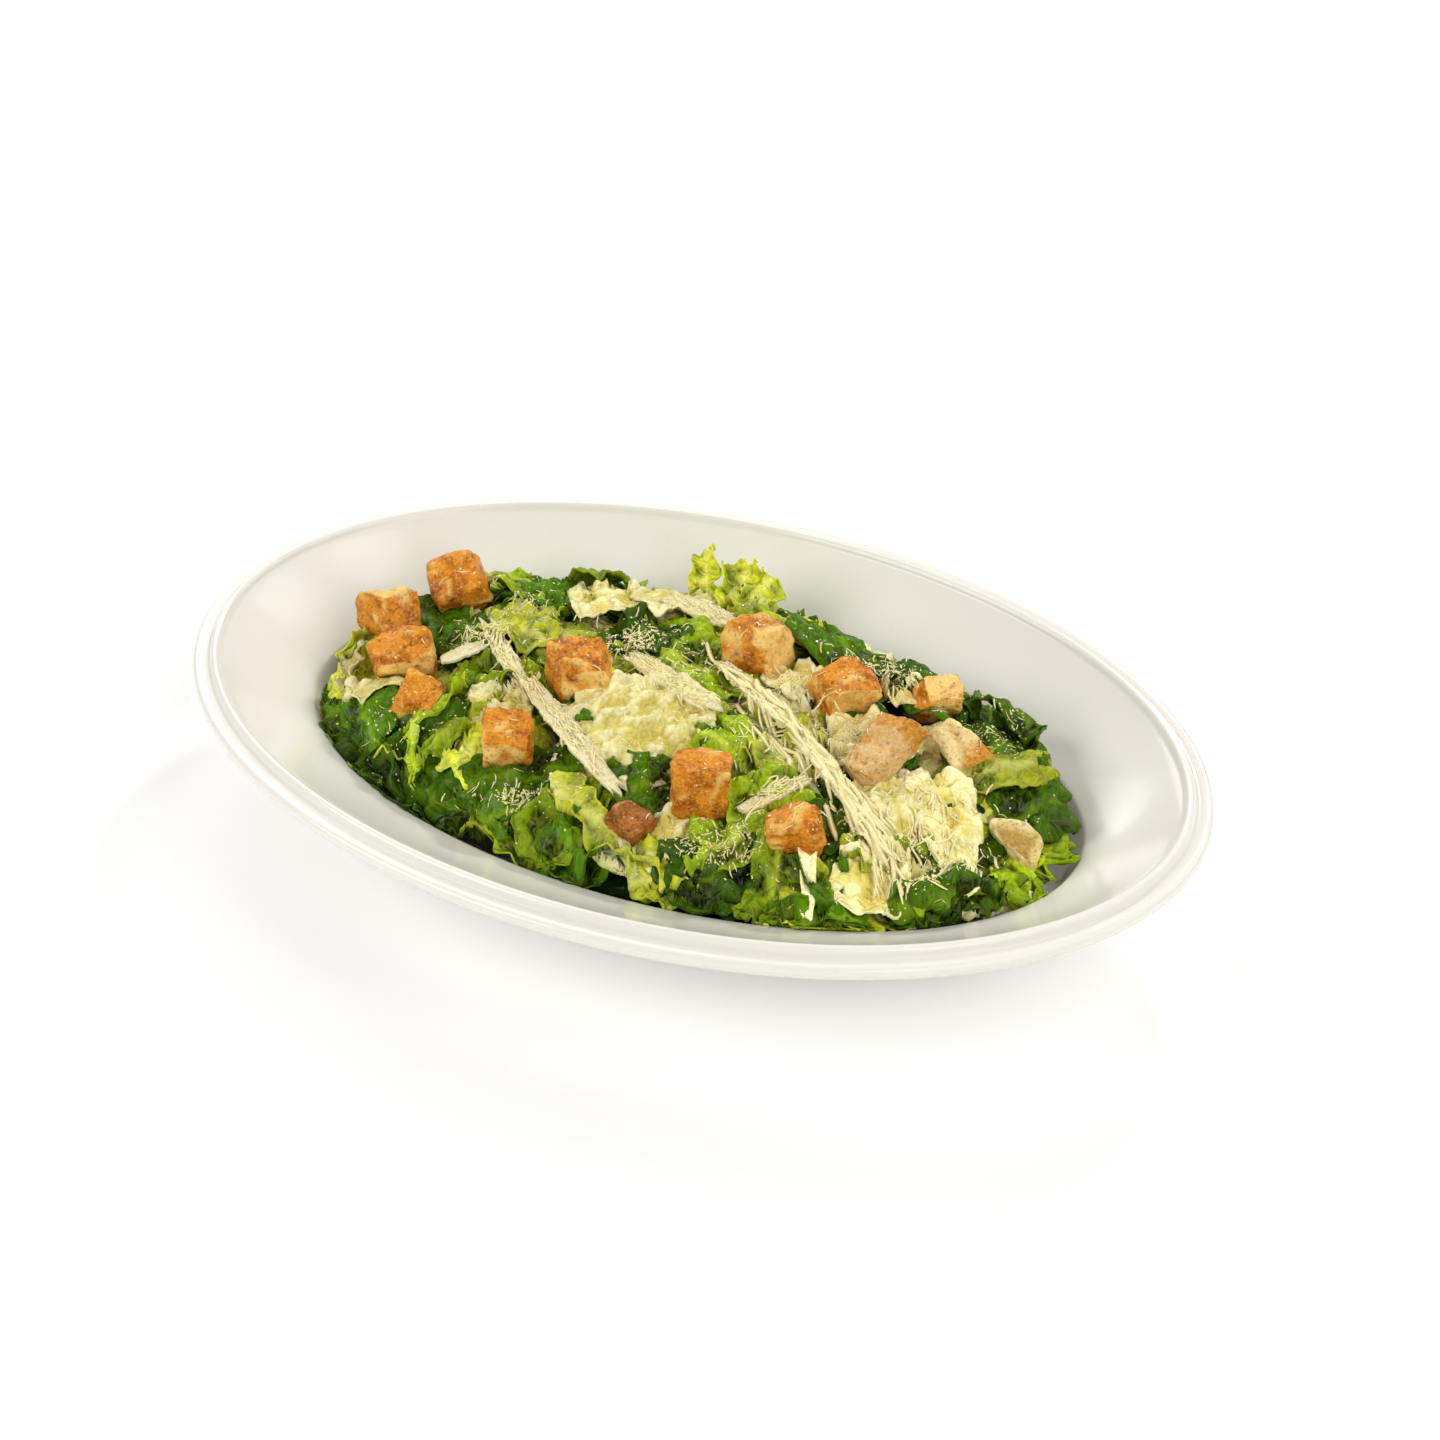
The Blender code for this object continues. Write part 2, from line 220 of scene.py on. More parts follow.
def mixed(tree, share, first, second, blend="MIX"):
    """Colour between two colours, each a socket or a colour."""
    colours = [(*c, 1) if isinstance(c, tuple) else c for c in (first, second)]
    inputs = {0: share, 6: colours[0], 7: colours[1]}
    return put(tree, "ShaderNodeMix", inputs, data_type="RGBA", blend_type=blend).outputs[2]


def noisy(tree, vector, size, detail=3.0, roughness=0.5):
    """Noise whose lumps have this size in metres."""
    inputs = {"Vector": vector, "Scale": 1 / size, "Detail": detail, "Roughness": roughness}
    return put(tree, "ShaderNodeTexNoise", inputs).outputs[0]


def cells(tree, vector, size, feature="F1"):
    """Distance inside cells of this size in metres."""
    inputs = {"Vector": vector, "Scale": 1 / size}
    return put(tree, "ShaderNodeTexVoronoi", inputs, feature=feature).outputs["Distance"]


def carried(tree, name):
    """Value that the mesh carries under this name."""
    return put(tree, "ShaderNodeAttribute", attribute_name=name).outputs["Fac"]


def object_place(tree):
    """Place on the piece, in metres."""
    return put(tree, "ShaderNodeTexCoord").outputs["Object"]


def leaf_network_group():
    """Fine net of veins in a leaf's own plane, and the height of the blisters between them."""
    titles = ("Along", "Across", "Tone")
    tree, given = new_group("leaf_network", "NodeSocketFloat", titles, ("Veins", "Height"))
    spot = put(tree, "ShaderNodeCombineXYZ", {at: given[title] for at, title in enumerate(titles)}).outputs[0]
    warp = put(tree, "ShaderNodeTexNoise", {"Vector": spot, "Scale": 300.0, "Detail": 2.0}).outputs["Color"]
    pushed = put(tree, "ShaderNodeVectorMath", {0: warp, "Scale": 1.2 * MM}, operation="SCALE").outputs[0]
    bent = put(tree, "ShaderNodeVectorMath", {0: spot, 1: pushed}, operation="ADD").outputs[0]
    coarse = cells(tree, bent, 3.2 * MM, "DISTANCE_TO_EDGE")
    fine = cells(tree, bent, 1.5 * MM, "DISTANCE_TO_EDGE")
    thick_veins = ramped(tree, coarse, 0.0, 0.13, 1.0, 0.0)
    thin_veins = ramped(tree, fine, 0.0, 0.10, 0.45, 0.0)
    net = worked(tree, "MAXIMUM", thick_veins, thin_veins)
    return give_out(tree, Veins=net, Height=ramped(tree, coarse, 0.0, 0.35))


def wet_film_group():
    """Patches of cloudy dressing clinging to a surface, and white specks, partly dressing and partly painted
    glints.
    """
    tree, given = new_group("wet_film", "NodeSocketVector", ("Place",), ("Film", "Flecks", "Height"))
    place = given["Place"]
    patches = ramped(tree, noisy(tree, place, 9 * MM, 4.0, 0.6), 0.50, 0.66)
    streaks = ramped(tree, noisy(tree, place, 2.2 * MM, 3.0, 0.6), 0.38, 0.62)
    film = times(tree, patches, streaks)
    # White specks: partly dressing, partly painted glints.
    specks = ramped(tree, cells(tree, place, 2.4 * MM), 0.09, 0.16, 1.0, 0.0)
    flecks_and_glints = times(tree, specks, ramped(tree, noisy(tree, place, 5 * MM, 2.0), 0.54, 0.64))
    return give_out(tree, Film=film, Flecks=flecks_and_glints, Height=plus(tree, film, flecks_and_glints))


LEAF_NETWORK = leaf_network_group()
WET_FILM = wet_film_group()


# Materials


def new_material(name, **values):
    """Material's node tree and Principled shader, with the shader's plain values set by name."""
    made = bpy.data.materials.new(name)
    made.use_nodes = True
    shader = made.node_tree.nodes["Principled BSDF"]
    for title, value in values.items():
        shader.inputs[title.replace("_", " ").title().replace("Ior", "IOR")].default_value = value
    return made, made.node_tree, shader


def dress(tree, shader, colour, height, depth, strength=1.0, roughness=None):
    """Shader fed with its colour, a relief of this depth and, if it changes, its roughness."""
    tree.links.new(colour, shader.inputs["Base Color"])
    if roughness is not None:
        tree.links.new(roughness, shader.inputs["Roughness"])
    bump = put(tree, "ShaderNodeBump", {"Height": height, "Distance": depth, "Strength": strength})
    tree.links.new(bump.outputs[0], shader.inputs["Normal"])


def porcelain_material():
    """Warm white glaze with a faint pool of tone, bare clay under the foot."""
    made, tree, shader = new_material(
        "glazed_porcelain", coat_weight=0.2, coat_roughness=0.04, specular_ior_level=0.3
    )
    place = object_place(tree)
    height = put(tree, "ShaderNodeSeparateXYZ", {0: place}).outputs[2]
    tone = mixed(tree, noisy(tree, place, 60 * MM, 2.0), paint(238, 234, 222), paint(243, 239, 229))
    specks = ramped(tree, noisy(tree, place, 0.7 * MM, 2.0), 0.66, 0.74, 0.0, 0.35)
    glaze = mixed(tree, specks, tone, paint(222, 216, 200))
    bare = ramped(tree, height, 0.5 * MM, 0.9 * MM, 1.0, 0.0)
    colour = mixed(tree, bare, glaze, paint(214, 206, 190))
    roughness = plus(tree, times(tree, bare, 0.5), 0.16)
    fine_ripple = times(tree, noisy(tree, place, 1.0 * MM, 2.0), 0.05)
    ripple = plus(tree, noisy(tree, place, 22 * MM, 1.0), fine_ripple)
    dress(tree, shader, colour, ripple, 0.35 * MM, 0.5, roughness)
    return made


def leaf_material(name, blade, hollow, margin, vein, film_share, roughness):
    """Wet leaf: its blade, the painted shade in its folds, its margin, its veins, and dressing specks and
    painted glints over them.
    """
    made, tree, shader = new_material(name, coat_weight=0.15, coat_roughness=0.06, specular_ior_level=0.05)
    blade, hollow, margin, vein = (paint(*colour) for colour in (blade, hollow, margin, vein))
    place = object_place(tree)
    tone = carried(tree, "tone")
    plane = {"Along": carried(tree, "along"), "Across": carried(tree, "across"), "Tone": tone}
    net = put(tree, "ShaderNodeGroup", plane, node_tree=LEAF_NETWORK).outputs
    wet = put(tree, "ShaderNodeGroup", {"Place": place}, node_tree=WET_FILM).outputs
    mottle = ramped(tree, noisy(tree, place, 8 * MM), 0.40, 0.62)
    # Low places among the blisters and creases take the fold colour: painted shade in the folds.
    colour = mixed(tree, ramped(tree, carried(tree, "puff"), 0.38, 0.84), hollow, blade)
    colour = mixed(tree, times(tree, mottle, 0.30), colour, hollow)
    colour = mixed(tree, times(tree, ramped(tree, carried(tree, "edge"), 0.55, 1.0), 0.6), colour, margin)
    colour = mixed(tree, times(tree, net["Veins"], 0.22), colour, vein)
    colour = mixed(tree, times(tree, carried(tree, "vein"), 0.5), colour, vein)
    colour = mixed(tree, carried(tree, "rib"), colour, vein)
    shade = ramped(tree, tone, 0.0, 1.0, *TONE_RANGE)
    grey = put(tree, "ShaderNodeCombineColor", {0: shade, 1: shade, 2: shade}).outputs[0]
    colour = mixed(tree, 1.0, colour, grey, "MULTIPLY")
    colour = mixed(tree, times(tree, wet["Film"], film_share), colour, paint(216, 216, 140))
    # White specks over the leaf: partly dressing, partly painted glints.
    colour = mixed(tree, times(tree, wet["Flecks"], 0.8), colour, paint(246, 240, 206))
    height = plus(tree, net["Height"], times(tree, noisy(tree, place, 2.2 * MM, 2.0), 0.5))
    height = plus(tree, height, times(tree, wet["Height"], 0.3))
    dress(tree, shader, colour, height, 0.6 * MM, 1.0, plus(tree, times(tree, mottle, 0.2), roughness))
    return made


def core_material():
    """Wet leaves deep in the heap, coloured near-black: painted shade between the leaves above."""
    made, tree, shader = new_material("painted_shade_deep_leaves", coat_weight=0.1, specular_ior_level=0.1)
    place = object_place(tree)
    shade = ramped(tree, noisy(tree, place, 6 * MM, 4.0), 0.35, 0.7)
    # Near-black greens: painted shade deep between the leaves.
    colour = mixed(tree, shade, paint(6, 16, 2), paint(30, 54, 8))
    roughness = ramped(tree, shade, 0, 1, 0.35, 0.6)
    dress(tree, shader, colour, cells(tree, place, 4 * MM), 1.0 * MM, 1.0, roughness)
    return made


def bread_material(name, crust, deep, painted_highlight, crumb):
    """Bread toasted, pale on bare crumb and painted lit sides, dark in pits and lower down, with painted
    highlights on its high spots.
    """
    made, tree, shader = new_material(name, coat_weight=0.16, coat_roughness=0.14, specular_ior_level=0.12)
    crust, deep, painted_highlight, crumb = (paint(*colour) for colour in (crust, deep, painted_highlight, crumb))
    place = object_place(tree)
    patches = noisy(tree, place, 5 * MM, 5.0, 0.65)
    grain = noisy(tree, place, 0.9 * MM, 3.0, 0.6)
    colour = mixed(tree, ramped(tree, patches, 0.34, 0.60), deep, crust)
    # Grain specks and high spots take the painted highlight colour.
    colour = mixed(tree, ramped(tree, grain, 0.50, 0.72, 0.0, 0.55), colour, painted_highlight)
    colour = mixed(tree, times(tree, carried(tree, "high"), 0.7), colour, painted_highlight)
    pale = mixed(tree, ramped(tree, grain, 0.40, 0.62), crumb, tuple(min(1, part * 1.2) for part in crumb))
    pale = mixed(tree, ramped(tree, patches, 0.50, 0.70, 0.0, 0.7), pale, crust)
    # Pale faces: bare crumb, and on the croutons painted light on their lit sides.
    bare = plus(tree, carried(tree, "crumb"), times(tree, patches, 0.6))
    colour = mixed(tree, ramped(tree, bare, 0.45, 1.25), colour, pale)
    pores = ramped(tree, cells(tree, place, 1.5 * MM), 0.08, 0.30, 1.0, 0.0)
    # Dark in pits and pores, and darker towards the bottom of each piece.
    dark = worked(tree, "MAXIMUM", carried(tree, "pits_and_dark_bottom"), times(tree, pores, 0.25))
    colour = mixed(tree, times(tree, dark, 0.75), colour, tuple(part * 0.45 for part in deep))
    rough = worked(tree, "SUBTRACT", grain, times(tree, pores, 0.8))
    dress(tree, shader, colour, rough, 0.40 * MM, 1.0, ramped(tree, grain, 0.3, 0.7, 0.60, 0.34))
    return made


def cheese_material(name, body, shade, glow):
    """Hard cheese: cream, faintly translucent, with a crystalline grain."""
    made, tree, shader = new_material(
        name,
        roughness=0.42,
        coat_weight=0.08,
        specular_ior_level=0.2,
        subsurface_weight=glow,
        subsurface_radius=(1.4 * MM, 1.2 * MM, 0.8 * MM),
        subsurface_scale=1.0,
    )
    body, shade = paint(*body), paint(*shade)
    place = object_place(tree)
    grain = noisy(tree, place, 0.8 * MM)
    colour = mixed(tree, ramped(tree, grain, 0.35, 0.65), shade, body)
    colour = mixed(tree, ramped(tree, noisy(tree, place, 6 * MM, 2.0), 0.45, 0.7, 0.0, 0.5), colour, shade)
    dress(tree, shader, colour, grain, 0.14 * MM, 0.8)
    return made


def dressing_material():
    """Thick glossy cream with a slow change of tone."""
    made, tree, shader = new_material(
        "creamy_dressing",
        roughness=0.16,
        coat_weight=0.4,
        subsurface_weight=0.2,
        subsurface_radius=(1.2 * MM, 1.0 * MM, 0.6 * MM),
        subsurface_scale=1.0,
    )
    place = object_place(tree)
    share = ramped(tree, noisy(tree, place, 2 * MM), 0.4, 0.65)
    colour = mixed(tree, share, paint(238, 234, 212), paint(222, 216, 180))
    dress(tree, shader, colour, noisy(tree, place, 0.8 * MM, 2.0), 0.12 * MM)
    return made


# Shared making


def new_object(name, data):
    """Object in the scene with this mesh, lamp or camera."""
    item = bpy.data.objects.new(name, data)
    bpy.context.scene.collection.objects.link(item)
    return item


def new_mesh(name, bm, finish):
    """Mesh from a bmesh, all in one finish."""
    mesh = bpy.data.meshes.new(name)
    bm.to_mesh(mesh)
    bm.free()
    mesh.materials.append(finish)
    return mesh


def finished_piece(name, bm, finish, replaced=(), sharp_angle=math.pi):
    """Piece of the object from a bmesh, smooth, riding on the one body."""
    mesh = new_mesh(name, bm, finish)
    mesh.shade_smooth()
    mesh.set_sharp_from_angle(angle=sharp_angle)
    piece = new_object(name, mesh)
    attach(piece, "root")
    if replaced:
        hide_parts(*replaced)
    return piece


def packed_mesh(name):
    """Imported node's mesh, joined up and cut finer."""
    bm = bmesh.new()
    bm.from_mesh(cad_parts[name].data)
    bmesh.ops.remove_doubles(bm, verts=bm.verts, dist=JOIN)
    bmesh.ops.subdivide_edges(bm, edges=bm.edges, cuts=CUTS, use_grid_fill=True)
    return bm


def ring_body(bm, segments, rings):
    """Capped stack of rings. Each ring is a function that places the point at a given turn."""
    turn = bm.verts.layers.float.new("turn")
    verts = bmesh.ops.create_circle(bm, cap_ends=True, segments=segments, radius=1)["verts"]
    for vert in verts:
        vert[turn] = math.atan2(vert.co.y, vert.co.x)
        vert.co = rings[0](vert[turn])
    edges = list(bm.edges)
    for ring in rings[1:]:
        made = bmesh.ops.extrude_edge_only(bm, edges=edges)["geom"]
        edges = [item for item in made if isinstance(item, bmesh.types.BMEdge) and item.is_boundary]
        for vert in (item for item in made if isinstance(item, bmesh.types.BMVert)):
            vert.co = ring(vert[turn])
    bmesh.ops.edgeloop_fill(bm, edges=edges)
    bmesh.ops.recalc_face_normals(bm, faces=bm.faces)


# Bowl


def oval(inset, height):
    """Ring of the bowl at this inset from its outer edge."""

    def place(turn):
        return Vector(((HALF_LENGTH - inset) * math.cos(turn), (HALF_WIDTH - inset) * math.sin(turn), height))

    return place


def verge_height(inset):
    """Height of the broad sloping verge, slightly dished between bead and crease."""
    t = (inset - VERGE_INSET) / (CREASE_INSET - VERGE_INSET)
    straight = (EDGE_HEIGHT + 0.4 * MM) * (1 - t) + CREASE_HEIGHT * t
    return straight - VERGE_DISH * math.sin(math.pi * min(max(t, 0), 1))


def wall_height(angle):
    """Height on the well's wall where its curve has turned this far."""
    down = (1 - math.sin(angle)) / (1 - math.sin(WALL_START))
    return FLOOR_HEIGHT + (CREASE_HEIGHT - FLOOR_HEIGHT) * down


def wall_point(share):
    """Inset and height down the well's wall, steep at the crease and level at the floor."""
    angle = WALL_START + (math.pi / 2 - WALL_START) * share
    across = (math.cos(WALL_START) - math.cos(angle)) / math.cos(WALL_START)
    return CREASE_INSET + (FLOOR_INSET - CREASE_INSET) * across, wall_height(angle)


def bowl_section():
    """(inset, height) from the middle of the underside, round the rim, to the middle of the floor."""
    underside = [(inset * MM, height * MM) for inset, height in UNDERSIDE]
    edge = [(inset * MM, EDGE_HEIGHT + over * MM) for inset, over in EDGE]
    bead = []
    for angle in map(math.radians, BEAD_TURNS):
        rise = (BEAD_HEIGHT - EDGE_HEIGHT + 0.1 * MM) * math.sin(angle)
        bead.append((BEAD_INSET - BEAD_HALF * math.cos(angle), EDGE_HEIGHT + rise))
    verge_insets = [VERGE_INSET + step * MM for step in VERGE_STEPS]
    verge = [(inset, verge_height(inset)) for inset in verge_insets]
    crease = [(CREASE_INSET + inset * MM, CREASE_HEIGHT + over * MM) for inset, over in CREASE]
    return underside + edge + bead + verge + crease + [wall_point(share) for share in WALL_SHARES]


def make_bowl():
    """Oval bowl, turned in one closed shell."""
    bm = bmesh.new()
    ring_body(bm, BOWL_SEGMENTS, [oval(inset, height) for inset, height in bowl_section()])
    bowl = finished_piece("porcelain_bowl", bm, porcelain_material(), ["bowl"])
    smooth = bowl.modifiers.new("smooth", "SUBSURF")
    smooth.levels = smooth.render_levels = BOWL_SMOOTHING


# Heap


def well_radius(x, y):
    """1 on the bowl's crease."""
    return math.hypot(x / WELL_LENGTH, y / WELL_WIDTH)


def far_share(x, y):
    """0 round the near side of the heap, 1 at its far side."""
    return smoothstep(-0.35, 0.75, y / WELL_WIDTH / max(well_radius(x, y), 0.3))


def heap_level(x, y):
    """Smooth height of the heap."""
    radius = min(well_radius(x, y), 1)
    edge = CREASE_HEIGHT + NEAR_EDGE_RISE + (FAR_EDGE_RISE - NEAR_EDGE_RISE) * far_share(x, y)
    return edge + (HEAP_TOP - edge) * (1 - radius**HEAP_POWER)


def bowl_level(x, y):
    """Height of the bowl's upper face."""
    radius = max(well_radius(x, y), 0.05)
    outside = (1 - 1 / radius) * math.hypot(x, y)
    if outside > 0:
        return CREASE_HEIGHT + VERGE_SLOPE * outside
    share = min(-outside / (FLOOR_INSET - CREASE_INSET), 1)
    return wall_height(math.acos(math.cos(WALL_START) * (1 - share)))


def sealed(x, y, level):
    """Level brought down to the porcelain at the heap's edge, all round but on the far side."""
    share = smoothstep(0.93, 1.04, well_radius(x, y)) * (1 - 0.85 * far_share(x, y))
    return level + (bowl_level(x, y) + SEAL_GAP - level) * share


def edge_shift(turn):
    """How far the heap's edge stands out from its oval at this turn, as a share of its reach."""
    degrees = math.degrees(turn)
    return sum(shift * math.exp(-(((degrees - at) / width) ** 2)) for at, width, shift in EDGE_SHIFTS)


def kept_in(x, y, reach):
    """Point drawn in towards the heap's middle, so that it stays within this reach of it."""
    radius = well_radius(x, y)
    turn = math.atan2(y / WELL_WIDTH, x / WELL_LENGTH)
    round_place = Vector((math.cos(turn), math.sin(turn), 0.7))
    reach += 0.055 * noise.noise(round_place * 4) + 0.03 * noise.noise(round_place * 11)
    reach += edge_shift(turn)
    start = reach - SQUEEZE
    if radius <= start:
        return x, y
    share = (reach - SQUEEZE * math.exp(-(radius - start) / SQUEEZE)) / radius
    return x * share, y * share


def make_core():
    """Crumpled dome that the leaves lie on, coloured near-black as painted shade between them."""

    def ring(share):
        def place(turn):
            turn = math.remainder(turn, math.tau)
            reach = share * (CORE_REACH + share**3 * min(0, edge_shift(turn)))
            x = reach * WELL_LENGTH * math.cos(turn)
            y = reach * WELL_WIDTH * math.sin(turn)
            spot = Vector((x, y, 0))
            crumple = 2.4 * MM * noise.noise(spot / (7 * MM)) + 1.2 * MM * noise.noise(spot / (3 * MM))
            level = heap_level(x, y) - (CORE_DEPTH + CORE_EDGE_DEPTH * share**6) + crumple
            return Vector((x, y, max(level, bowl_level(x, y) + CORE_CLEARANCE)))

        return place

    def base(turn):
        x = CORE_BASE[0] * WELL_LENGTH * math.cos(turn)
        y = CORE_BASE[1] * WELL_WIDTH * math.sin(turn)
        return Vector((x, y, bowl_level(x, y) + CORE_CLEARANCE))

    bm = bmesh.new()
    shares = [1 - step / CORE_RINGS for step in range(CORE_RINGS)]
    ring_body(bm, CORE_SEGMENTS, [base] + [ring(share) for share in shares])
    return finished_piece("lettuce_core", bm, core_material(), ["lettuce_heap"])


# Leaves

# Shape of each kind: cell (mm) and relief (mm) of its blisters, ruffle (mm) and waves of its margin,
# half width of its rib (mm), fold (rise for each mm from the rib), squareness, height (mm) and width
# (mm) of its creases.
LEAF_KINDS = {
    "dark": (5.5, 2.1, 2.6, 4, 0.9, 0.10, 0.25, 4.0, 16),
    "green": (5.0, 1.6, 2.6, 5, 0.9, 0.14, 0.25, 3.6, 14),
    "yellow": (4.2, 1.2, 2.6, 6, 1.1, 0.14, 0.25, 3.0, 12),
    "pale": (3.0, 1.1, 1.6, 7, 0.9, 0.05, 0.35, 1.8, 9),
    "rib": (9.0, 0.3, 0.6, 3, 3.2, 0.25, 0.75, 1.0, 16),
}

# Finish of each kind: name, display colours of the blade, the painted shade in its folds, its margin
# and its veins, how much cloudy dressing shows on it, and its roughness.
LEAF_FINISHES = {
    "dark": ("dark_leaf", (74, 118, 2), (4, 10, 1), (70, 108, 3), (112, 144, 16), 0.02, 0.22),
    "green": ("green_leaf", (154, 186, 6), (20, 38, 1), (158, 188, 8), (190, 208, 50), 0.08, 0.22),
    "yellow": ("yellow_leaf", (216, 222, 30), (96, 114, 4), (212, 220, 44), (238, 238, 124), 0.14, 0.28),
    "pale": ("pale_leaf", (255, 246, 190), (212, 192, 92), (255, 248, 200), (224, 212, 110), 0.2, 0.30),
    "rib": ("leaf_rib", (240, 236, 156), (208, 210, 90), (176, 192, 30), (248, 244, 186), 0.2, 0.24),
}

# Leaves that show: kind, middle (x, y), length and width (mm), heading (degrees), lift over the heap
# (mm), pitch and roll (degrees), bend along and across (degrees; up at the ends if above 0).
LEAVES = (
    # left end
    ("dark", -80, -44, 60, 40, -28, 1, -4, 14, -40, -70),
    ("dark", -93, -33, 32, 26, -50, 2, 0, 16, -30, -60),
    ("dark", -58, -55, 34, 26, -21, -1, -6, 10, -20, -40),
    ("dark", -66, -38, 30, 16, -90, 1, -6, 0, -10, 90),
    ("green", -70, -28, 26, 6, -111, 5, -8, 0, -20, 60),
    ("green", -69, -46, 20, 4, -65, 4, -10, 0, -20, 60),
    ("green", -62, -40, 20, 6, -128, 4, -6, 0, -20, 60),
    ("pale", -109, -13, 20, 9, -68, 4, 0, 20, -10, 80),
    ("pale", -95, -23, 22, 8, 20, 4, 0, -10, -30, 70),
    ("yellow", -112, -4, 20, 14, 75, 2, 0, 20, -20, 40),
    ("dark", -94, 14, 26, 22, -7, 0, 0, 0, -20, 20),
    ("dark", -76, 5, 24, 20, 24, 2, 6, 0, -40, 30),
    ("green", -61, -11, 20, 22, 57, 2, 10, -5, -60, 40),
    ("pale", -52, -22, 22, 18, 12, 2, 0, 0, -20, 20),
    ("yellow", -49, -42, 24, 18, -19, 2, 0, 5, -20, 50),
    ("yellow", -62, 13, 26, 18, -12, 2, 0, 0, -30, 40),
    # far side, left to right
    ("green", -74, 38, 36, 20, -17, 3, 0, -24, -40, -50),
    ("green", -52, 52, 26, 14, 20, 4, 0, -30, -60, -40),
    ("dark", -60, 34, 24, 18, -20, 0, 0, 0, 0, 30),
    ("pale", -43, 40, 30, 26, 18, 3, 0, -10, -30, -20),
    ("pale", -26, 48, 26, 28, 31, 3, 0, -14, -30, -30),
    ("yellow", -22, 63, 25, 11, 100, 7, 66, 0, 20, 70),
    ("yellow", -8, 60, 25, 19, 92, 5, 54, 0, 30, 80),
    ("yellow", -2, 56, 24, 14, 66, 4, 34, 0, 20, 60),
    ("yellow", 4, 52, 30, 14, -22, 4, 0, -16, -30, -30),
    ("yellow", 18, 46, 24, 14, -22, 3, 0, -10, -30, -30),
    ("dark", 32, 44, 36, 26, -36, 4, 0, -22, -40, -60),
    ("dark", 54, 39, 28, 20, -14, 3, 0, -18, -40, -40),
    ("dark", 68, 40, 24, 18, -30, 1, 0, -10, -30, -30),
    # middle
    ("green", -9, 15, 52, 36, -11, 3, 0, 6, -30, -50),
    ("dark", -24, 24, 30, 22, 10, 2, 0, 0, -40, -30),
    ("pale", -6, -19, 50, 42, 25, 4, 0, 8, -16, -20),
    ("dark", -30, -18, 20, 18, -4, 0, 0, 0, -30, 20),
    ("dark", 12, -9, 26, 20, 62, 0, 0, 0, -30, 30),
    ("green", 25, -20, 34, 28, -20, 2, 0, 0, -40, -40),
    ("yellow", 38, -16, 26, 16, -38, 2, 0, 10, -30, 50),
    ("dark", 3, -38, 24, 24, 41, 0, 0, 0, -20, 30),
    ("green", 40, -31, 26, 22, 45, 1, 0, 0, -30, 30),
    ("pale", 27, 22, 20, 18, 60, 3, 0, 0, -40, -40),
    ("pale", 56, 8, 30, 24, 20, 1, 0, 0, -30, -20),
    # near side, left to right
    ("dark", -33, -44, 40, 22, 24, 1, 0, 10, -20, -40),
    ("dark", -29, -53, 32, 14, 34, 0, 0, 14, -20, -40),
    ("green", -16, -55, 34, 22, 60, 2, 0, 6, -40, 60),
    ("yellow", 3, -55, 58, 10, -16, 4, 0, 0, -20, 130),
    ("rib", 3, -60, 26, 11, -47, 2, 0, 10, -10, 0),
    ("dark", -11, -61, 22, 18, 40, 0, 0, 10, -20, 60),
    ("yellow", 21, -60, 26, 20, 30, 0, 0, 10, -20, -50),
    ("pale", 18, -49, 22, 18, 32, 1, 0, 0, -30, 40),
    ("dark", 34, -56, 40, 28, 62, 2, -6, 6, -30, -60),
    ("green", 35, -46, 30, 16, 39, 2, 0, 0, -20, -40),
    ("green", 50, -52, 34, 18, 105, 2, 14, 0, -20, -40),
    ("rib", 59, -49, 26, 5, -64, 5, -14, 0, -10, 0),
    ("dark", 66, -48, 26, 16, -48, 0, -10, 0, 0, 60),
    ("dark", 67, -58, 36, 10, 25, 1, 0, 20, -10, -40),
    ("dark", 60, -29, 22, 18, 54, 0, 0, 0, 0, 30),
    ("pale", 76, -41, 22, 22, 31, 2, 0, 6, -20, 60),
    # right end
    ("yellow", 72, -34, 18, 14, -10, 1, 0, 0, 0, 60),
    ("pale", 75, -20, 38, 24, -53, 4, -4, 0, -30, -40),
    ("green", 94, -28, 36, 22, 39, 2, 0, 8, -20, -30),
    ("dark", 98, -36, 34, 16, 42, 0, 0, 14, -10, -40),
    ("dark", 99, -38, 38, 15, 34, 3, 0, 20, -10, -50),
    ("green", 113, -15, 24, 16, 10, 1, -8, 6, -20, -40),
    ("dark", 92, 22, 36, 34, 71, 4, 0, -10, -60, -60),
    ("dark", 90, 37, 28, 14, -22, 5, 0, -30, -30, -50),
    ("dark", 109, 4, 28, 22, 47, 4, 0, 0, -50, -60),
    ("yellow", 98, 12, 34, 15, 28, 5, 0, -4, -30, -40),
    ("dark", 97, -9, 22, 20, 66, 0, 0, 0, 0, 30),
    ("pale", 88, -14, 40, 19, -58, 4, -4, 6, -30, -60),
    ("dark", 67, 31, 24, 18, -30, 3, 0, -10, -30, -30),
    ("pale", 58, 31, 16, 14, 20, 3, 0, -8, -30, -30),
)

# Leaves whose brightness isn't left to chance: middle (mm) and tone, from 0 (dim) to 1 (bright).
SET_TONES = {
    (-6, -19): 0.5,
    (-52, -22): 0.45,
    (-43, 40): 0.6,
    (-26, 48): 0.5,
    (27, 22): 0.5,
    (56, 8): 0.65,
    (76, -41): 0.75,
}

FILLERS = 120
FILLER_KINDS = ("dark", "dark", "green", "green", "yellow", "yellow", "pale", "pale")


def leaf_layers(bm):
    """What a leaf's vertices carry for its material."""
    names = ("along", "across", "puff", "edge", "rib", "tone", "vein")
    return {name: bm.verts.layers.float.get(name) or bm.verts.layers.float.new(name) for name in names}


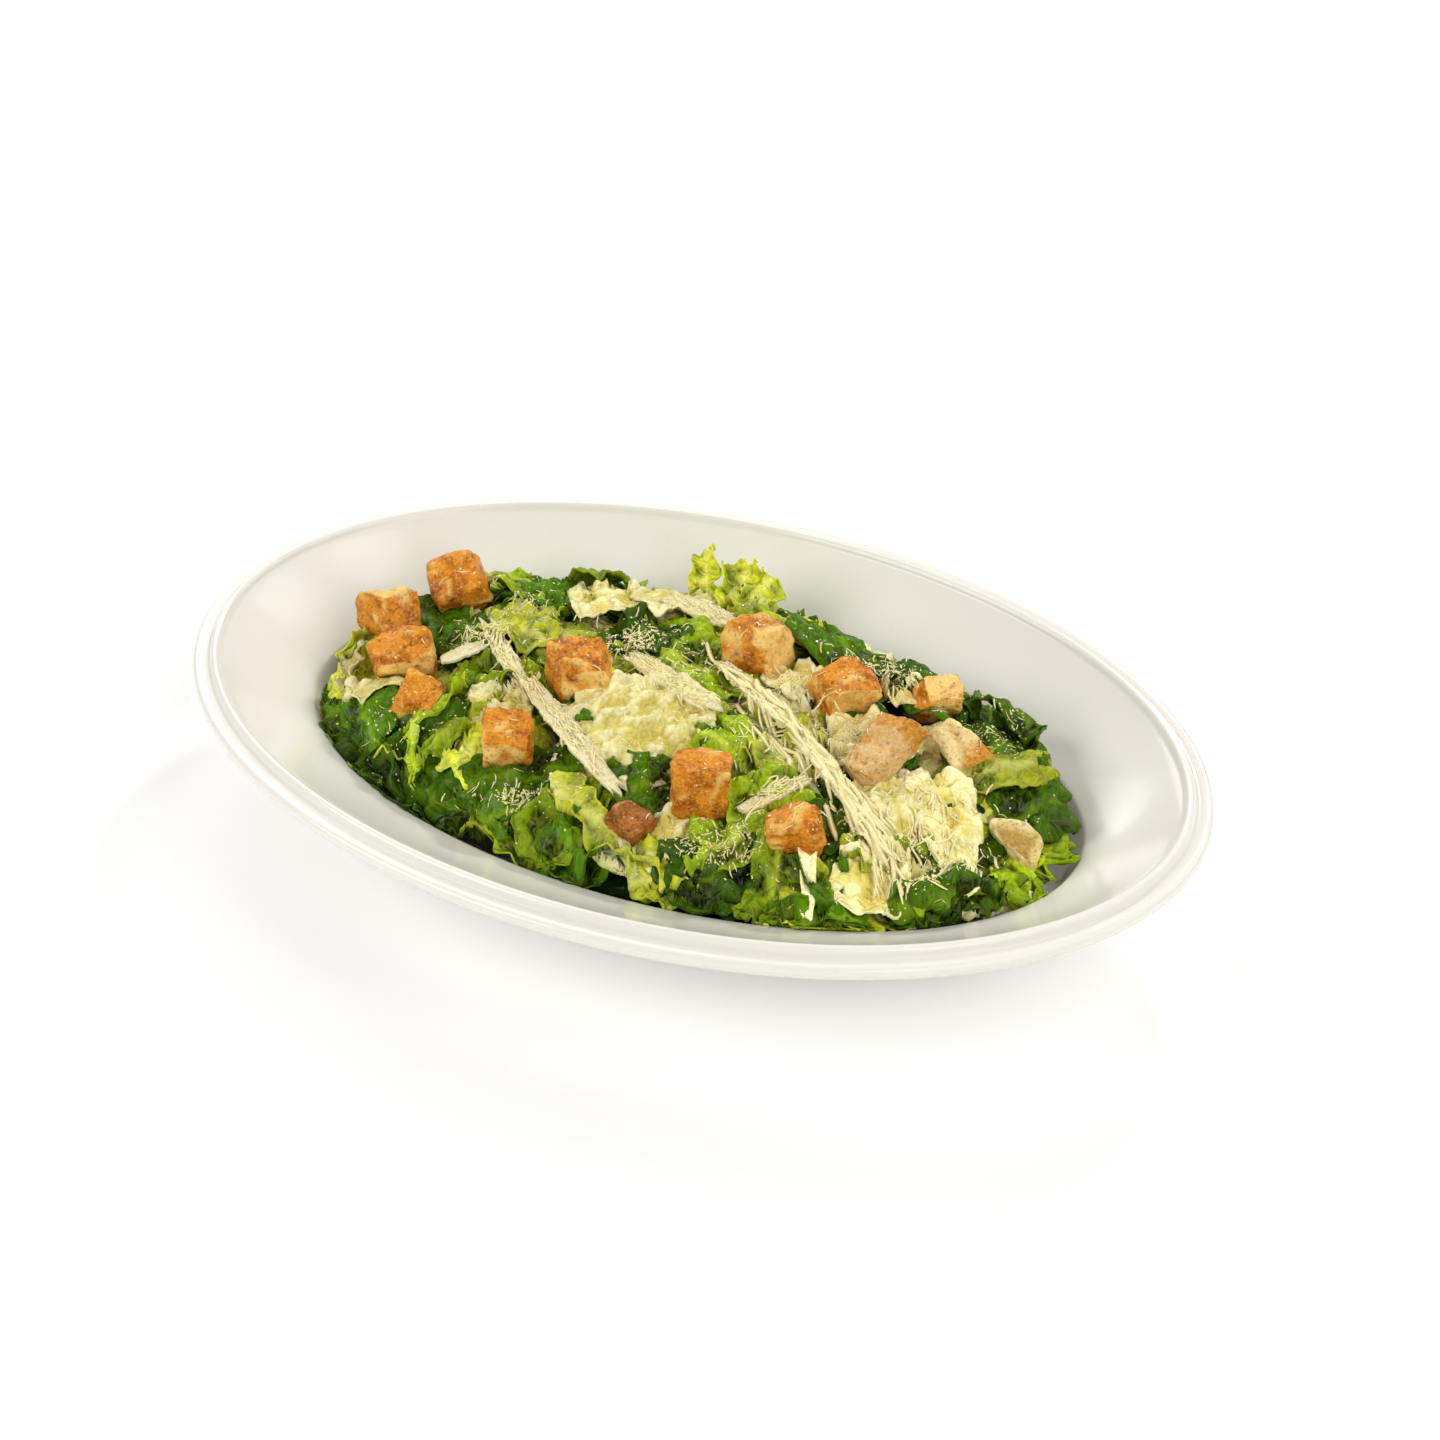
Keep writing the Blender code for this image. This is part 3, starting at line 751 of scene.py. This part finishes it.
def arched(along, height, length, degrees):
    """Flat distance and height wrapped round an arc of this many degrees, with its ends up if above 0."""
    if abs(degrees) < 1:
        return along, height
    radius = length / math.radians(degrees)
    angle = along / radius
    return math.sin(angle) * (radius - height), radius - math.cos(angle) * (radius - height)


def pile_cell(x, y):
    """Column and row of the pile's grid at this place, and how far on towards the next ones."""
    across = (x + HALF_LENGTH) / PILE_CELL
    up = (y + HALF_WIDTH) / PILE_CELL
    return int(across), int(up), across % 1, up % 1


class Pile:
    """Top of the leaves laid so far, kept as heights on a square grid."""

    def __init__(self):
        self.columns = int(2 * HALF_LENGTH / PILE_CELL) + 3
        self.heights = [0.0] * (self.columns * (int(2 * HALF_WIDTH / PILE_CELL) + 3))

    def top(self, x, y):
        """Height here, blended between the four cells round it."""
        column, row, a, b = pile_cell(x, y)
        start = row * self.columns + column
        low = self.heights[start] * (1 - a) + self.heights[start + 1] * a
        high = self.heights[start + self.columns] * (1 - a) + self.heights[start + self.columns + 1] * a
        return low * (1 - b) + high * b

    def rest(self, x, y, level):
        """Level of a leaf that lies on what is here, or slips under it where it would be well below."""
        top = self.top(x, y)
        return max(level, top + PILE_GAP) if level > top - PILE_DRAPE else level

    def cover(self, spots):
        """Raise the pile to these points."""
        for spot in spots:
            column, row, _, _ = pile_cell(spot.x, spot.y)
            start = row * self.columns + column
            for cell in (start, start + 1, start + self.columns, start + self.columns + 1):
                self.heights[cell] = max(self.heights[cell], spot.z)


def bread_seats():
    """(middle, half size) of the box round each piece of bread."""
    boxes = [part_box(name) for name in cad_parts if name.startswith(("crouton", "bread"))]
    return [((low + high) / 2, (high - low) / 2) for low, high in boxes]


def under_bread(seats, x, y, level):
    """Level kept below the middle of any bread that lies here."""
    for middle, half in seats:
        near = max(abs(x - middle.x) / half.x, abs(y - middle.y) / half.y)
        if near < 1 and level > middle.z:
            level = middle.z + (level - middle.z) * smoothstep(0.7, 1, near)
    return level


def bulged(x, y, level):
    """Point near the heap's edge pushed in or out by lumps, so that leaves hanging there aren't flat."""
    share = smoothstep(0.86, 0.99, well_radius(x, y))
    push = 1 + share * EDGE_BULGE * noise.noise(Vector((x, y, level)) / EDGE_LUMP)
    return x * push, y * push


def laid(pile, seats, x, y, over, reach):
    """Point this far over the heap laid on the pile, under the bread and clear of the bowl."""
    x, y = kept_in(x, y, reach)
    level = sealed(x, y, heap_level(x, y) + over)
    level = under_bread(seats, x, y, pile.rest(x, y, level))
    x, y = bulged(x, y, level)
    return Vector((x, y, max(level, bowl_level(x, y) + LEAF_CLEARANCE)))


def torn_outline(a, b, length, width, square, seed):
    """Point of the unit square carried to a torn leaf: its place (mm), turn, and share along the leaf."""
    along = a * (math.sqrt(1 - b * b / 2) * (1 - square) + 0.9 * square)
    across = b * (math.sqrt(1 - a * a / 2) * (1 - square) + 0.9 * square)
    turn = math.atan2(across, along)
    round_place = Vector((math.cos(turn), math.sin(turn), seed * 1.7))
    torn = 0.24 * noise.noise(round_place * 1.6) + 0.07 * noise.noise(round_place * 5)
    outline = 1 + max(abs(a), abs(b)) * torn
    return along * length / 2 * outline, across * width / 2 * outline * (1 - 0.22 * along), turn, along


def leaf_relief(kind, x, y, turn, along, edge, seed, phase):
    """Height (mm) of a leaf before it is arched, and what it carries for its material."""
    cell, relief, ruffle, waves, rib, fold, _, crease, crease_width = LEAF_KINDS[kind]
    flat = Vector((x, y, 0)) / cell + Vector((seed * 7.31 % 50, seed * 3.17 % 50, 0))
    near = noise.voronoi(flat)[0]
    blister = min((near[1] - near[0]) / 0.5, 1)
    slant = (x - 0.6 * abs(y)) / (1.35 * cell) + 0.35 * noise.noise(flat * 0.6)
    quilt = abs(math.sin(math.pi * slant))
    puff = 0.6 * (1 - (1 - blister) ** 2) + 0.4 * math.sqrt(quilt)
    big = Vector((x, y, 3 * seed)) / crease_width
    ridge = 1 - 2.4 * abs(noise.noise(big)) - 0.8 * abs(noise.noise(big * 2.3))
    ribbed = math.exp(-((y / (rib * (1.1 - 0.5 * along))) ** 2))
    height = relief * (puff - 0.6) * (1 - ribbed) * (1 - 0.4 * edge) - 0.8 * rib * ribbed
    height += crease * (ridge - 0.4)
    height += ruffle * edge**3 * math.sin(waves * turn + phase + 2.5 * noise.noise(flat * 0.5))
    height += 0.18 * ruffle * edge**5 * math.sin(3.3 * waves * turn + phase)
    height += fold * (math.sqrt(y * y + 4) - 2)
    veined = max(smoothstep(0.24, 0.02, quilt), 0.7 * smoothstep(0.2, 0.0, blister))
    look = {
        "along": x * MM,
        "across": y * MM,
        # How high a place stands among blisters and creases; its low places get painted shade.
        "puff": min(max(0.55 * puff + 0.45 * smoothstep(-0.4, 0.9, ridge), 0), 1),
        "edge": edge,
        "rib": min(ribbed, 1),
        "vein": veined * (1 - 0.3 * edge),
    }
    return height, look


def add_leaf(bm, pile, seats, leaf, seed, grid, reach):
    """Torn piece of leaf: a disc of quads, creased, blistered, ruffled, arched and laid on the pile."""
    kind, middle_x, middle_y, length, width, heading, lift, pitch, roll, arc_along, arc_across = leaf
    square = LEAF_KINDS[kind][6]
    layers = leaf_layers(bm)
    chance = random.Random(seed).random()
    tone = SET_TONES.get((middle_x, middle_y), chance)
    tilt = Euler((math.radians(roll), -math.radians(pitch), 0)).to_matrix()
    facing = Euler((0, 0, math.radians(heading))).to_matrix()
    columns = max(8, round(length * MM / grid))
    rows = max(6, round(width * MM / grid))
    verts = bmesh.ops.create_grid(bm, x_segments=columns, y_segments=rows, size=1)["verts"]
    for vert in verts:
        a, b = vert.co.x, vert.co.y
        x, y, turn, along = torn_outline(a, b, length, width, square, seed)
        z, look = leaf_relief(kind, x, y, turn, along, max(abs(a), abs(b)), seed, 6.3 * chance)
        x, z = arched(x, z, length, arc_along)
        y, z = arched(y, z, width, arc_across)
        local = facing @ (tilt @ Vector((x, y, z)))
        x, y = (middle_x + local.x) * MM, (middle_y + local.y) * MM
        vert.co = laid(pile, seats, x, y, (lift + local.z) * MM, reach)
        vert[layers["tone"]] = tone
        for title, value in look.items():
            vert[layers[title]] = value
    pile.cover(vert.co for vert in verts)


def filler_leaves():
    """Leaves at random over the whole heap, under those that are placed one by one."""
    draw = random.Random(41)
    leaves = []
    for _ in range(FILLERS):
        turn = draw.uniform(0, 2 * math.pi)
        radius = 0.96 * math.sqrt(draw.random())
        x = radius * WELL_LENGTH / MM * math.cos(turn)
        y = radius * WELL_WIDTH / MM * math.sin(turn)
        size = (draw.uniform(26, 42), draw.uniform(18, 30))
        tilt = (draw.uniform(-14, 14), draw.uniform(-14, 14))
        arcs = (draw.uniform(-50, 10), draw.uniform(-70, 30))
        kind = draw.choice(FILLER_KINDS)
        leaves.append((kind, x, y, *size, draw.uniform(0, 360), draw.uniform(-6, -2), *tilt, *arcs))
    return leaves


def make_leaves():
    """All the leaves, those of one kind joined in one thin sheet."""
    draw = random.Random(7)
    pile = Pile()
    seats = bread_seats()
    sheets = {kind: bmesh.new() for kind in LEAF_KINDS}
    for seed, leaf in enumerate(filler_leaves()):
        add_leaf(sheets[leaf[0]], pile, seats, leaf, seed + 201, FILLER_GRID, draw.uniform(*LEAF_REACH))
    for seed, leaf in enumerate(LEAVES):
        reach = draw.uniform(*LEAF_REACH) + (HIGH_REACH if leaf[6] > HIGH_LIFT else 0)
        add_leaf(sheets[leaf[0]], pile, seats, leaf, seed + 1, LEAF_GRID, reach)
    pieces = []
    for kind, bm in sheets.items():
        piece = finished_piece(kind + "_leaves", bm, leaf_material(*LEAF_FINISHES[kind]))
        wall = piece.modifiers.new("wall", "SOLIDIFY")
        wall.thickness = LEAF_THICKNESS
        wall.offset = 0.0
        pieces.append(piece)
    return pieces


# Bread

# Which sides of each piece are pale and not toasted, as directions: bare crumb, and on the croutons
# partly painted light on their lit sides.
LEFT = Vector((-0.36, -0.93, 0))
RIGHT = Vector((0.93, -0.36, 0))
AWAY_RIGHT = Vector((0.45, 0.85, 0.25)).normalized()
CRUMB_AND_LIT_SIDES = {
    "crouton_2": (UP,),
    "crouton_3": (RIGHT,),
    "crouton_4": (RIGHT - UP,),
    "crouton_5": (RIGHT,),
    "crouton_6": (LEFT,),
    "crouton_7": (RIGHT, RIGHT + UP),
    "crouton_8": (RIGHT,),
    "crouton_11": (RIGHT, UP),
    "bread_slab": (UP, LEFT, RIGHT),
    "bread_curl": (UP, LEFT, RIGHT),
    "bread_heel": (UP,),
}

# Crust along one side of a torn piece: direction, and where it begins and is full (mm from the middle).
SCORCHED = {"bread_slab": (AWAY_RIGHT, 2, 8), "bread_curl": (RIGHT, 1, 7)}

# Finish of each kind of bread: name, display colours of its crust, its deep parts, its painted
# highlights, and its pale faces, which are crumb and on the croutons also painted light.
# The croutons' pale faces are a lit golden: painted light as well as crumb.
TOAST = ("toast_crust", (228, 144, 28), (168, 86, 10), (255, 212, 118), (250, 200, 114))
BREAD_FINISHES = {
    "bread_slab": ("torn_crumb", (216, 148, 50), (188, 116, 30), (240, 206, 140), (218, 180, 118)),
    "bread_curl": ("curled_crust", (236, 164, 60), (206, 128, 36), (255, 226, 160), (250, 218, 150)),
    # crouton_12 lies in shadow: its darker toast is painted shade.
    "crouton_12": ("painted_shade_crust", (176, 104, 34), (124, 68, 16), (206, 150, 84), (190, 134, 74)),
    "bread_heel": ("heel_crumb", (240, 214, 140), (206, 176, 92), (255, 240, 184), (184, 150, 78)),
}

# Torn pieces that aren't plain blocks: how each is turned (degrees), as it is packed.
SLAB_TURN = Euler((math.radians(-12), math.radians(-20), math.radians(72))).to_matrix()
CURL_TURN = Euler((math.radians(30), math.radians(25), math.radians(-20))).to_matrix()
HEEL_TURN = Euler((math.radians(24), math.radians(10), math.radians(5))).to_matrix()


def slabbed(place):
    """Block thinned, and narrowed towards its near end."""
    return Vector((place.x, place.y * (0.85 + place.x / (60 * MM)), 0.75 * place.z + 0.8 * MM))


def curled(place):
    """Block drawn out into a thin band that arches over its middle and widens along its length."""
    across = place.x / MM
    height = 0.35 * place.z + (2.6 - 0.055 * across * across) * MM
    return Vector((place.x, place.y * (0.85 + 0.02 * across), height))


def heel_rim(place):
    """1 on the raised rim of the heel, 0 in its hollow."""
    return smoothstep(0.45, 0.85, max(abs(place.x) / HEEL_HALF[0], abs(place.y) / HEEL_HALF[1]))


def heeled(place):
    """Block drawn in to half an oval slice with a raised rim."""
    a, b = (min(max(part / half, -1.2), 1.2) for part, half in zip(place, HEEL_HALF))
    rim = heel_rim(place) if place.z > 0 else 0
    oval_place = Vector((place.x * math.sqrt(1 - b * b / 2.9), place.y * math.sqrt(1 - a * a / 2.9), 0))
    short = max(0, -1 * MM - oval_place.dot(HEEL_CUT))
    return oval_place + HEEL_CUT * 0.75 * short + UP * (0.7 * place.z + (2.2 * rim - 1) * MM)


SHAPED = {
    "bread_slab": (SLAB_TURN, slabbed),
    "bread_curl": (CURL_TURN, curled),
    "bread_heel": (HEEL_TURN, heeled),
}


def scorch(name, offset):
    """How far this place, given from the middle of the piece, is crust and not crumb."""
    if name in SCORCHED:
        side, start, full = SCORCHED[name]
        return smoothstep(start * MM, full * MM, offset.dot(side))
    return heel_rim(HEEL_TURN.transposed() @ offset) if name == "bread_heel" else 0


def make_bread(name, finish, seed):
    """Packed block made again with its corners worn, its faces pitted and its crumb torn."""
    bm = packed_mesh(name)
    axes = {"use_axis_x": True, "use_axis_y": True, "use_axis_z": True}
    for _ in range(CORNER_WEAR):
        bmesh.ops.smooth_vert(bm, verts=bm.verts, factor=0.5, **axes)
    middle = sum(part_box(name), Vector()) / 2
    if name in SHAPED:
        turn, shaped = SHAPED[name]
        for vert in bm.verts:
            vert.co = middle + turn @ shaped(turn.transposed() @ (vert.co - middle))
    bm.normal_update()
    crumb, pits_and_dark_bottom, high = (bm.verts.layers.float.new(title) for title in ("crumb", "pits_and_dark_bottom", "high"))
    sides = [side.normalized() for side in CRUMB_AND_LIT_SIDES.get(name, ())]
    for vert in bm.verts:
        facing = max((vert.normal.dot(side) for side in sides), default=-1)
        spot = vert.co + UP * seed
        near = noise.voronoi(spot / (2.4 * MM))[0][0]
        hole = smoothstep(0.36, 0.10, near) * smoothstep(0.0, 0.35, noise.noise(spot / (4 * MM)))
        broad = noise.noise(spot / (6 * MM))
        lumps = 1.3 * broad + 0.6 * noise.noise(spot / (2.6 * MM)) + 0.25 * noise.noise(spot / (1.1 * MM))
        # Pale towards a listed side: bare crumb, and on the croutons painted light on their lit sides.
        vert[crumb] = smoothstep(0.25, 0.95, facing + 0.5 * broad) * (1 - scorch(name, vert.co - middle))
        # Dark in pits, and darker towards the bottom of the piece.
        vert[pits_and_dark_bottom] = max(hole, 0.45 * smoothstep(0, -7 * MM, vert.co.z - middle.z))
        # High lumps, which the finish paints with highlight.
        vert[high] = smoothstep(0.25, 0.9, lumps)
        vert.co += vert.normal * (0.8 * lumps - 0.8 * hole) * MM
        if name not in SHAPED:
            vert.co += WARP * Vector([noise.noise(spot / WARP_LUMP + shift) for shift in WARP_SHIFTS])
    title = name.replace("crouton", "toasted_crouton").replace("bread", "torn_bread")
    return finished_piece(title, bm, finish, [name])


def make_all_bread():
    """Every toasted cube and torn piece, in its own finish."""
    toast = bread_material(*TOAST)
    finishes = {name: bread_material(*values) for name, values in BREAD_FINISHES.items()}
    names = sorted(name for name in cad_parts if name.startswith(("crouton", "bread")))
    return [make_bread(name, finishes.get(name, toast), seed) for seed, name in enumerate(names)]


# Parmesan

# Shavings that have broken into a mass of shreds, with ragged edges.
RAGGED = ("parmesan_shaving_6", "parmesan_shaving_7")


def make_shaving(name, finish, seed):
    """Packed strip made again with a torn edge, a wavy face and a grain along its length."""
    torn = 2.6 if name in RAGGED else 1.0
    bm = packed_mesh(name)
    bm.normal_update()
    middle = sum((vert.co for vert in bm.verts), Vector()) / len(bm.verts)
    axis = (max((vert.co for vert in bm.verts), key=lambda co: co.x) - middle).normalized()
    half = max(abs((vert.co - middle).dot(axis)) for vert in bm.verts)
    across = axis.cross(UP).normalized()
    for vert in bm.verts:
        spot = vert.co + UP * seed
        along = (vert.co - middle).dot(axis)
        tip = smoothstep(0.72, 1.0, abs(along) / half)
        split = noise.noise(Vector((seed, along / (30 * MM), (vert.co - middle).dot(across) / (1.6 * MM))))
        vert.co += axis * along * (0.10 + tip * (0.10 + 0.35 * split))
        vert.co -= UP * 0.35 * MM * max(0, vert.normal.z)
        side = Vector((vert.normal.x, vert.normal.y, 0))
        tear = 0.7 * noise.noise(spot / (3.5 * MM)) + 0.5 * noise.noise(spot / (1.2 * MM)) - 0.25
        vert.co += side * torn * tear * MM
        wave = 0.5 * noise.noise(spot / (5 * MM)) + 0.12 * torn * noise.noise(spot / (1.1 * MM))
        vert.co += UP * wave * MM
    return finished_piece(name.replace("parmesan", "grained"), bm, finish, [name])


def resting_tree(pieces):
    """Search tree over everything that loose cheese can land on."""
    bm = bmesh.new()
    for piece in pieces:
        bm.from_mesh(piece.data)
    return BVHTree.FromBMesh(bm)


def landing(tree, x, y):
    """Highest point under the sky at this place and the way it faces, or None twice."""
    return tree.ray_cast(Vector((x, y, SKY)), -UP)[:2]


# Grated cheese: middle (x, y), half length and half width of the patch (mm), heading and spread of
# its shreds (degrees), size of a shred against the finest, shreds, grains.
GRATINGS = (
    ((38, -8), (34, 5), -34, 12, 3.0, 110, 500),
    ((34, -4), (36, 8), -34, 50, 1.6, 110, 500),
    ((66, -26), (18, 5), -38, 14, 3.0, 45, 200),
    ((80, -38), (12, 7), -60, 40, 1.8, 36, 150),
    ((96, -34), (3, 1), 62, 6, 2.6, 3, 0),
    ((62, 31), (9, 6), 0, 180, 1.3, 90, 260),
    ((48, 7), (13, 9), 0, 180, 1.3, 130, 400),
    ((46, 36), (12, 8), 0, 180, 1.0, 110, 250),
    ((-70, 23), (16, 6), 0, 180, 1.0, 110, 220),
    ((-72, 6), (12, 6), 20, 180, 1.0, 90, 200),
    ((-60, -1), (12, 3), -46, 30, 1.4, 50, 80),
    ((-46, -14), (6, 3), -40, 30, 1.5, 40, 50),
    ((-26, -28), (20, 3), -36, 30, 1.4, 60, 90),
    ((-8, 2), (16, 4), -25, 30, 1.4, 60, 90),
    ((-13, 40), (12, 4), -16, 40, 1.3, 50, 80),
    ((40, -29), (10, 4), 55, 40, 1.3, 60, 90),
    ((-26, 20), (9, 9), 0, 180, 1.0, 90, 220),
    ((-14, 8), (24, 12), 0, 180, 1.0, 90, 300),
    ((28, 18), (10, 8), 0, 180, 1.0, 90, 300),
    ((-30, -52), (18, 6), 20, 180, 0.9, 90, 200),
    ((32, -48), (20, 8), 20, 180, 0.9, 120, 320),
    ((92, -32), (22, 9), 38, 180, 0.9, 90, 360),
    ((84, -16), (16, 16), -60, 60, 1.7, 90, 260),
    ((88, 26), (14, 14), 0, 180, 0.9, 50, 150),
    ((-80, -36), (22, 16), 0, 180, 0.8, 20, 120),
    ((0, 0), (100, 50), 0, 180, 0.9, 380, 1100),
)


def scattered(patch, draw):
    """Place at random in a patch, thickest in its middle."""
    (middle_x, middle_y), (half_length, half_width), heading = patch[:3]
    angle = math.radians(heading)
    along = draw.gauss(0, 0.5) * half_length
    across = draw.gauss(0, 0.5) * half_width
    x = middle_x + along * math.cos(angle) - across * math.sin(angle)
    y = middle_y + along * math.sin(angle) + across * math.cos(angle)
    return kept_in(x * MM, y * MM, SCATTER_REACH)


def strand_template():
    """Unit prism, cut into steps along its length."""
    bm = bmesh.new()
    bmesh.ops.create_cone(bm, cap_ends=True, segments=STRAND_SIDES, radius1=1, radius2=1, depth=1)
    long_edges = [edge for edge in bm.edges if abs(edge.verts[0].co.z - edge.verts[1].co.z) > 0.5]
    bmesh.ops.subdivide_edges(bm, edges=long_edges, cuts=STRAND_STEPS - 1)
    return bm


def ball_template(subdivisions):
    """Unit ball of this fineness."""
    bm = bmesh.new()
    bmesh.ops.create_icosphere(bm, subdivisions=subdivisions, radius=1)
    return bm


class Stamp:
    """Small shape that is placed again and again in a larger mesh."""

    def __init__(self, shape):
        self.shape = shape
        self.rest = [vert.co.copy() for vert in shape.verts]
        self.scratch = bpy.data.meshes.new("stamp")

    def add(self, bm, place):
        """Shape added with each of its points where place puts it."""
        for vert, rest in zip(self.shape.verts, self.rest):
            vert.co = place(rest)
        self.shape.to_mesh(self.scratch)
        bm.from_mesh(self.scratch)


def strand_points(tree, start, length, heading, curl, half, tilt):
    """Middle line of a strand that lies on what is under it, or None off the heap."""
    steps = STRAND_STEPS
    points = []
    x, y = start
    for step in range(steps + 1):
        angle = heading + curl * step / steps
        spot = landing(tree, x, y)[0]
        if spot is None:
            return None
        points.append(spot + UP * (half + tilt * step / steps))
        x += math.cos(angle) * length / steps
        y += math.sin(angle) * length / steps
    for step in range(1, steps):
        points[step].z = max(points[step].z, (points[step - 1].z + points[step + 1].z) / 2)
    for step in range(1, steps + 1):
        points[step].z = max(points[step].z, points[step - 1].z - STRAND_SLOPE * length / steps)
    for step in range(steps - 1, -1, -1):
        points[step].z = max(points[step].z, points[step + 1].z - STRAND_SLOPE * length / steps)
    return points


def over_bread(bread_tree, points):
    """Whether any of these points is over or under a piece of bread."""
    return any(landing(bread_tree, point.x, point.y)[0] for point in points)


def make_shreds(tree, bread_tree, finish):
    """Fine grated shreds, each a bent flat strand lying on what is under it, seldom on the bread."""
    draw = random.Random(11)
    bm = bmesh.new()
    stamp = Stamp(strand_template())
    for patch in GRATINGS:
        _, _, patch_heading, spread, bulk, shreds, _ = patch
        for _ in range(shreds):
            start = scattered(patch, draw)
            length = draw.uniform(1.6, 5.0) * bulk * MM
            heading = math.radians(patch_heading + draw.uniform(-spread, spread) + draw.choice((0, 180)))
            curl = draw.uniform(-1, 1) * (0.5 + spread / 180)
            half = draw.uniform(0.11, 0.20) * bulk**1.1 * MM
            tilt = draw.uniform(-0.3, 0.6) * MM
            points = strand_points(tree, start, length, heading, curl, half, tilt)
            if points is None or draw.random() > BREAD_SHARE and over_bread(bread_tree, points):
                continue

            def place(rest):
                position = (rest.z + 0.5) * STRAND_STEPS
                step = min(int(position + 0.5), STRAND_STEPS)
                ahead = points[min(step + 1, STRAND_STEPS)] - points[max(step - 1, 0)]
                side = ahead.cross(UP).normalized()
                over = side.cross(ahead).normalized()
                taper = 1 - 0.5 * (2 * step / STRAND_STEPS - 1) ** 4
                return points[step] + (side * rest.x * 1.5 + over * rest.y * 0.55) * half * taper

            stamp.add(bm, place)
    bmesh.ops.recalc_face_normals(bm, faces=bm.faces)
    return finished_piece("grated_shreds", bm, finish)


def make_grains(tree, bread_tree, finish):
    """Fine grains of cheese, a few faces each."""
    draw = random.Random(23)
    bm = bmesh.new()
    stamp = Stamp(ball_template(1))
    for patch in GRATINGS:
        for _ in range(patch[-1]):
            x, y = scattered(patch, draw)
            spot = landing(tree, x, y)[0]
            if spot is None or draw.random() > BREAD_SHARE and over_bread(bread_tree, [spot]):
                continue
            size = draw.uniform(0.14, 0.42) * MM
            turn = Euler([draw.uniform(0, 6.3) for _ in range(3)]).to_matrix()
            stretch = Vector([draw.uniform(0.6, 1.5) for _ in range(3)]) * size

            def place(rest):
                return spot + turn @ (rest * stretch) + UP * size * 0.4

            stamp.add(bm, place)
    return finished_piece("grated_grains", bm, finish, sharp_angle=math.radians(30))


def make_dressing(tree, bread_tree, finish):
    """Drops and dabs of dressing on the leaves."""
    draw = random.Random(5)
    bm = bmesh.new()
    stamp = Stamp(ball_template(2))
    for _ in range(DRESSING_DROPS):
        turn = draw.uniform(0, 2 * math.pi)
        radius = 0.94 * math.sqrt(draw.random())
        x = radius * WELL_LENGTH * math.cos(turn)
        y = radius * WELL_WIDTH * math.sin(turn)
        spot, normal = landing(tree, x, y)
        if spot is None or over_bread(bread_tree, [spot]):
            continue
        size = draw.uniform(0.2, 0.6) * MM
        facing = normal.to_track_quat("Z", "Y")
        stretch = Vector((draw.uniform(0.7, 2.0), 1, 0.45)) * size

        def place(rest):
            return spot + facing @ (rest * stretch)

        stamp.add(bm, place)
    return finished_piece("dressing_drops", bm, finish)


# Stage

# Lights all round: turn from +X (degrees), height (m), disc size (m) and power (W).
LIGHTS = (
    ("back_right", 45, 0.86, 1.0, 4.8),
    ("back_left", 135, 0.86, 1.0, 7.5),
    ("front_left", 225, 0.86, 1.0, 13.0),
    ("front_right", 318, 0.86, 1.0, 7.7),
    ("right", 0, 0.86, 1.0, 5.2),
    ("overhead", 0, 2.3, 1.0, 5.8),
    ("sparkle", 92, 0.80, 0.16, 6.5),
)


def aimed(item, offset):
    """Lamp or camera set at this offset from what the camera looks at, and turned to it."""
    item.location = TARGET + offset
    item.rotation_mode = "QUATERNION"
    item.rotation_quaternion = (-offset).to_track_quat("-Z", "Y")
    return item


def make_floor():
    """Pale level floor that isn't part of the object."""
    bm = bmesh.new()
    bmesh.ops.create_grid(bm, x_segments=1, y_segments=1, size=FLOOR_HALF)
    finish, _, shader = new_material("pale_floor", roughness=0.9, emission_strength=FLOOR_GLOW)
    shader.inputs["Base Color"].default_value = (0.9, 0.9, 0.9, 1)
    shader.inputs["Emission Color"].default_value = (1, 1, 1, 1)
    floor = new_object("floor", new_mesh("floor", bm, finish))


def make_lights():
    """Faint even light from all round, and the lamps."""
    world = bpy.data.worlds.new("studio")
    world.use_nodes = True
    world.node_tree.nodes["Background"].inputs["Color"].default_value = (1, 1, 1, 1)
    world.node_tree.nodes["Background"].inputs["Strength"].default_value = SKY_GLOW
    bpy.context.scene.world = world
    for name, degrees, height, size, power in LIGHTS:
        light = bpy.data.lights.new(name, "AREA")
        light.shape = "DISK"
        light.size = size
        light.energy = power
        turn = math.radians(degrees)
        offset = Vector((LIGHT_DISTANCE * math.cos(turn), LIGHT_DISTANCE * math.sin(turn), height))
        aimed(new_object(name, light), offset)


def make_camera():
    """Camera over the near side, turned a little to the right."""
    camera = bpy.data.cameras.new("camera")
    camera.sensor_width = CAMERA_SENSOR
    camera.lens = CAMERA_LENS
    camera.clip_start = CAMERA_NEAREST
    level = Vector((math.sin(CAMERA_TURN), -math.cos(CAMERA_TURN), 0))
    back = level * math.cos(CAMERA_RISE) + UP * math.sin(CAMERA_RISE)
    bpy.context.scene.camera = aimed(new_object("camera", camera), back * CAMERA_DISTANCE)
    bpy.context.scene.view_settings.view_transform = "Standard"


make_floor()
make_lights()
make_camera()
make_bowl()
core = make_core()
leaves = make_leaves()
bread = make_all_bread()
strip = cheese_material("parmesan_strip", (240, 230, 194), (224, 208, 152), 0.4)
grated = cheese_material("parmesan_shred", (252, 242, 194), (246, 230, 160), 0.0)
names = list(enumerate(sorted(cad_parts)))
shavings = [make_shaving(name, strip, seed) for seed, name in names if name.startswith("parmesan")]
ground = resting_tree([core, *leaves, *bread, *shavings])
bread_tree = resting_tree(bread)
make_shreds(ground, bread_tree, grated)
make_grains(ground, bread_tree, grated)
make_dressing(ground, bread_tree, dressing_material())
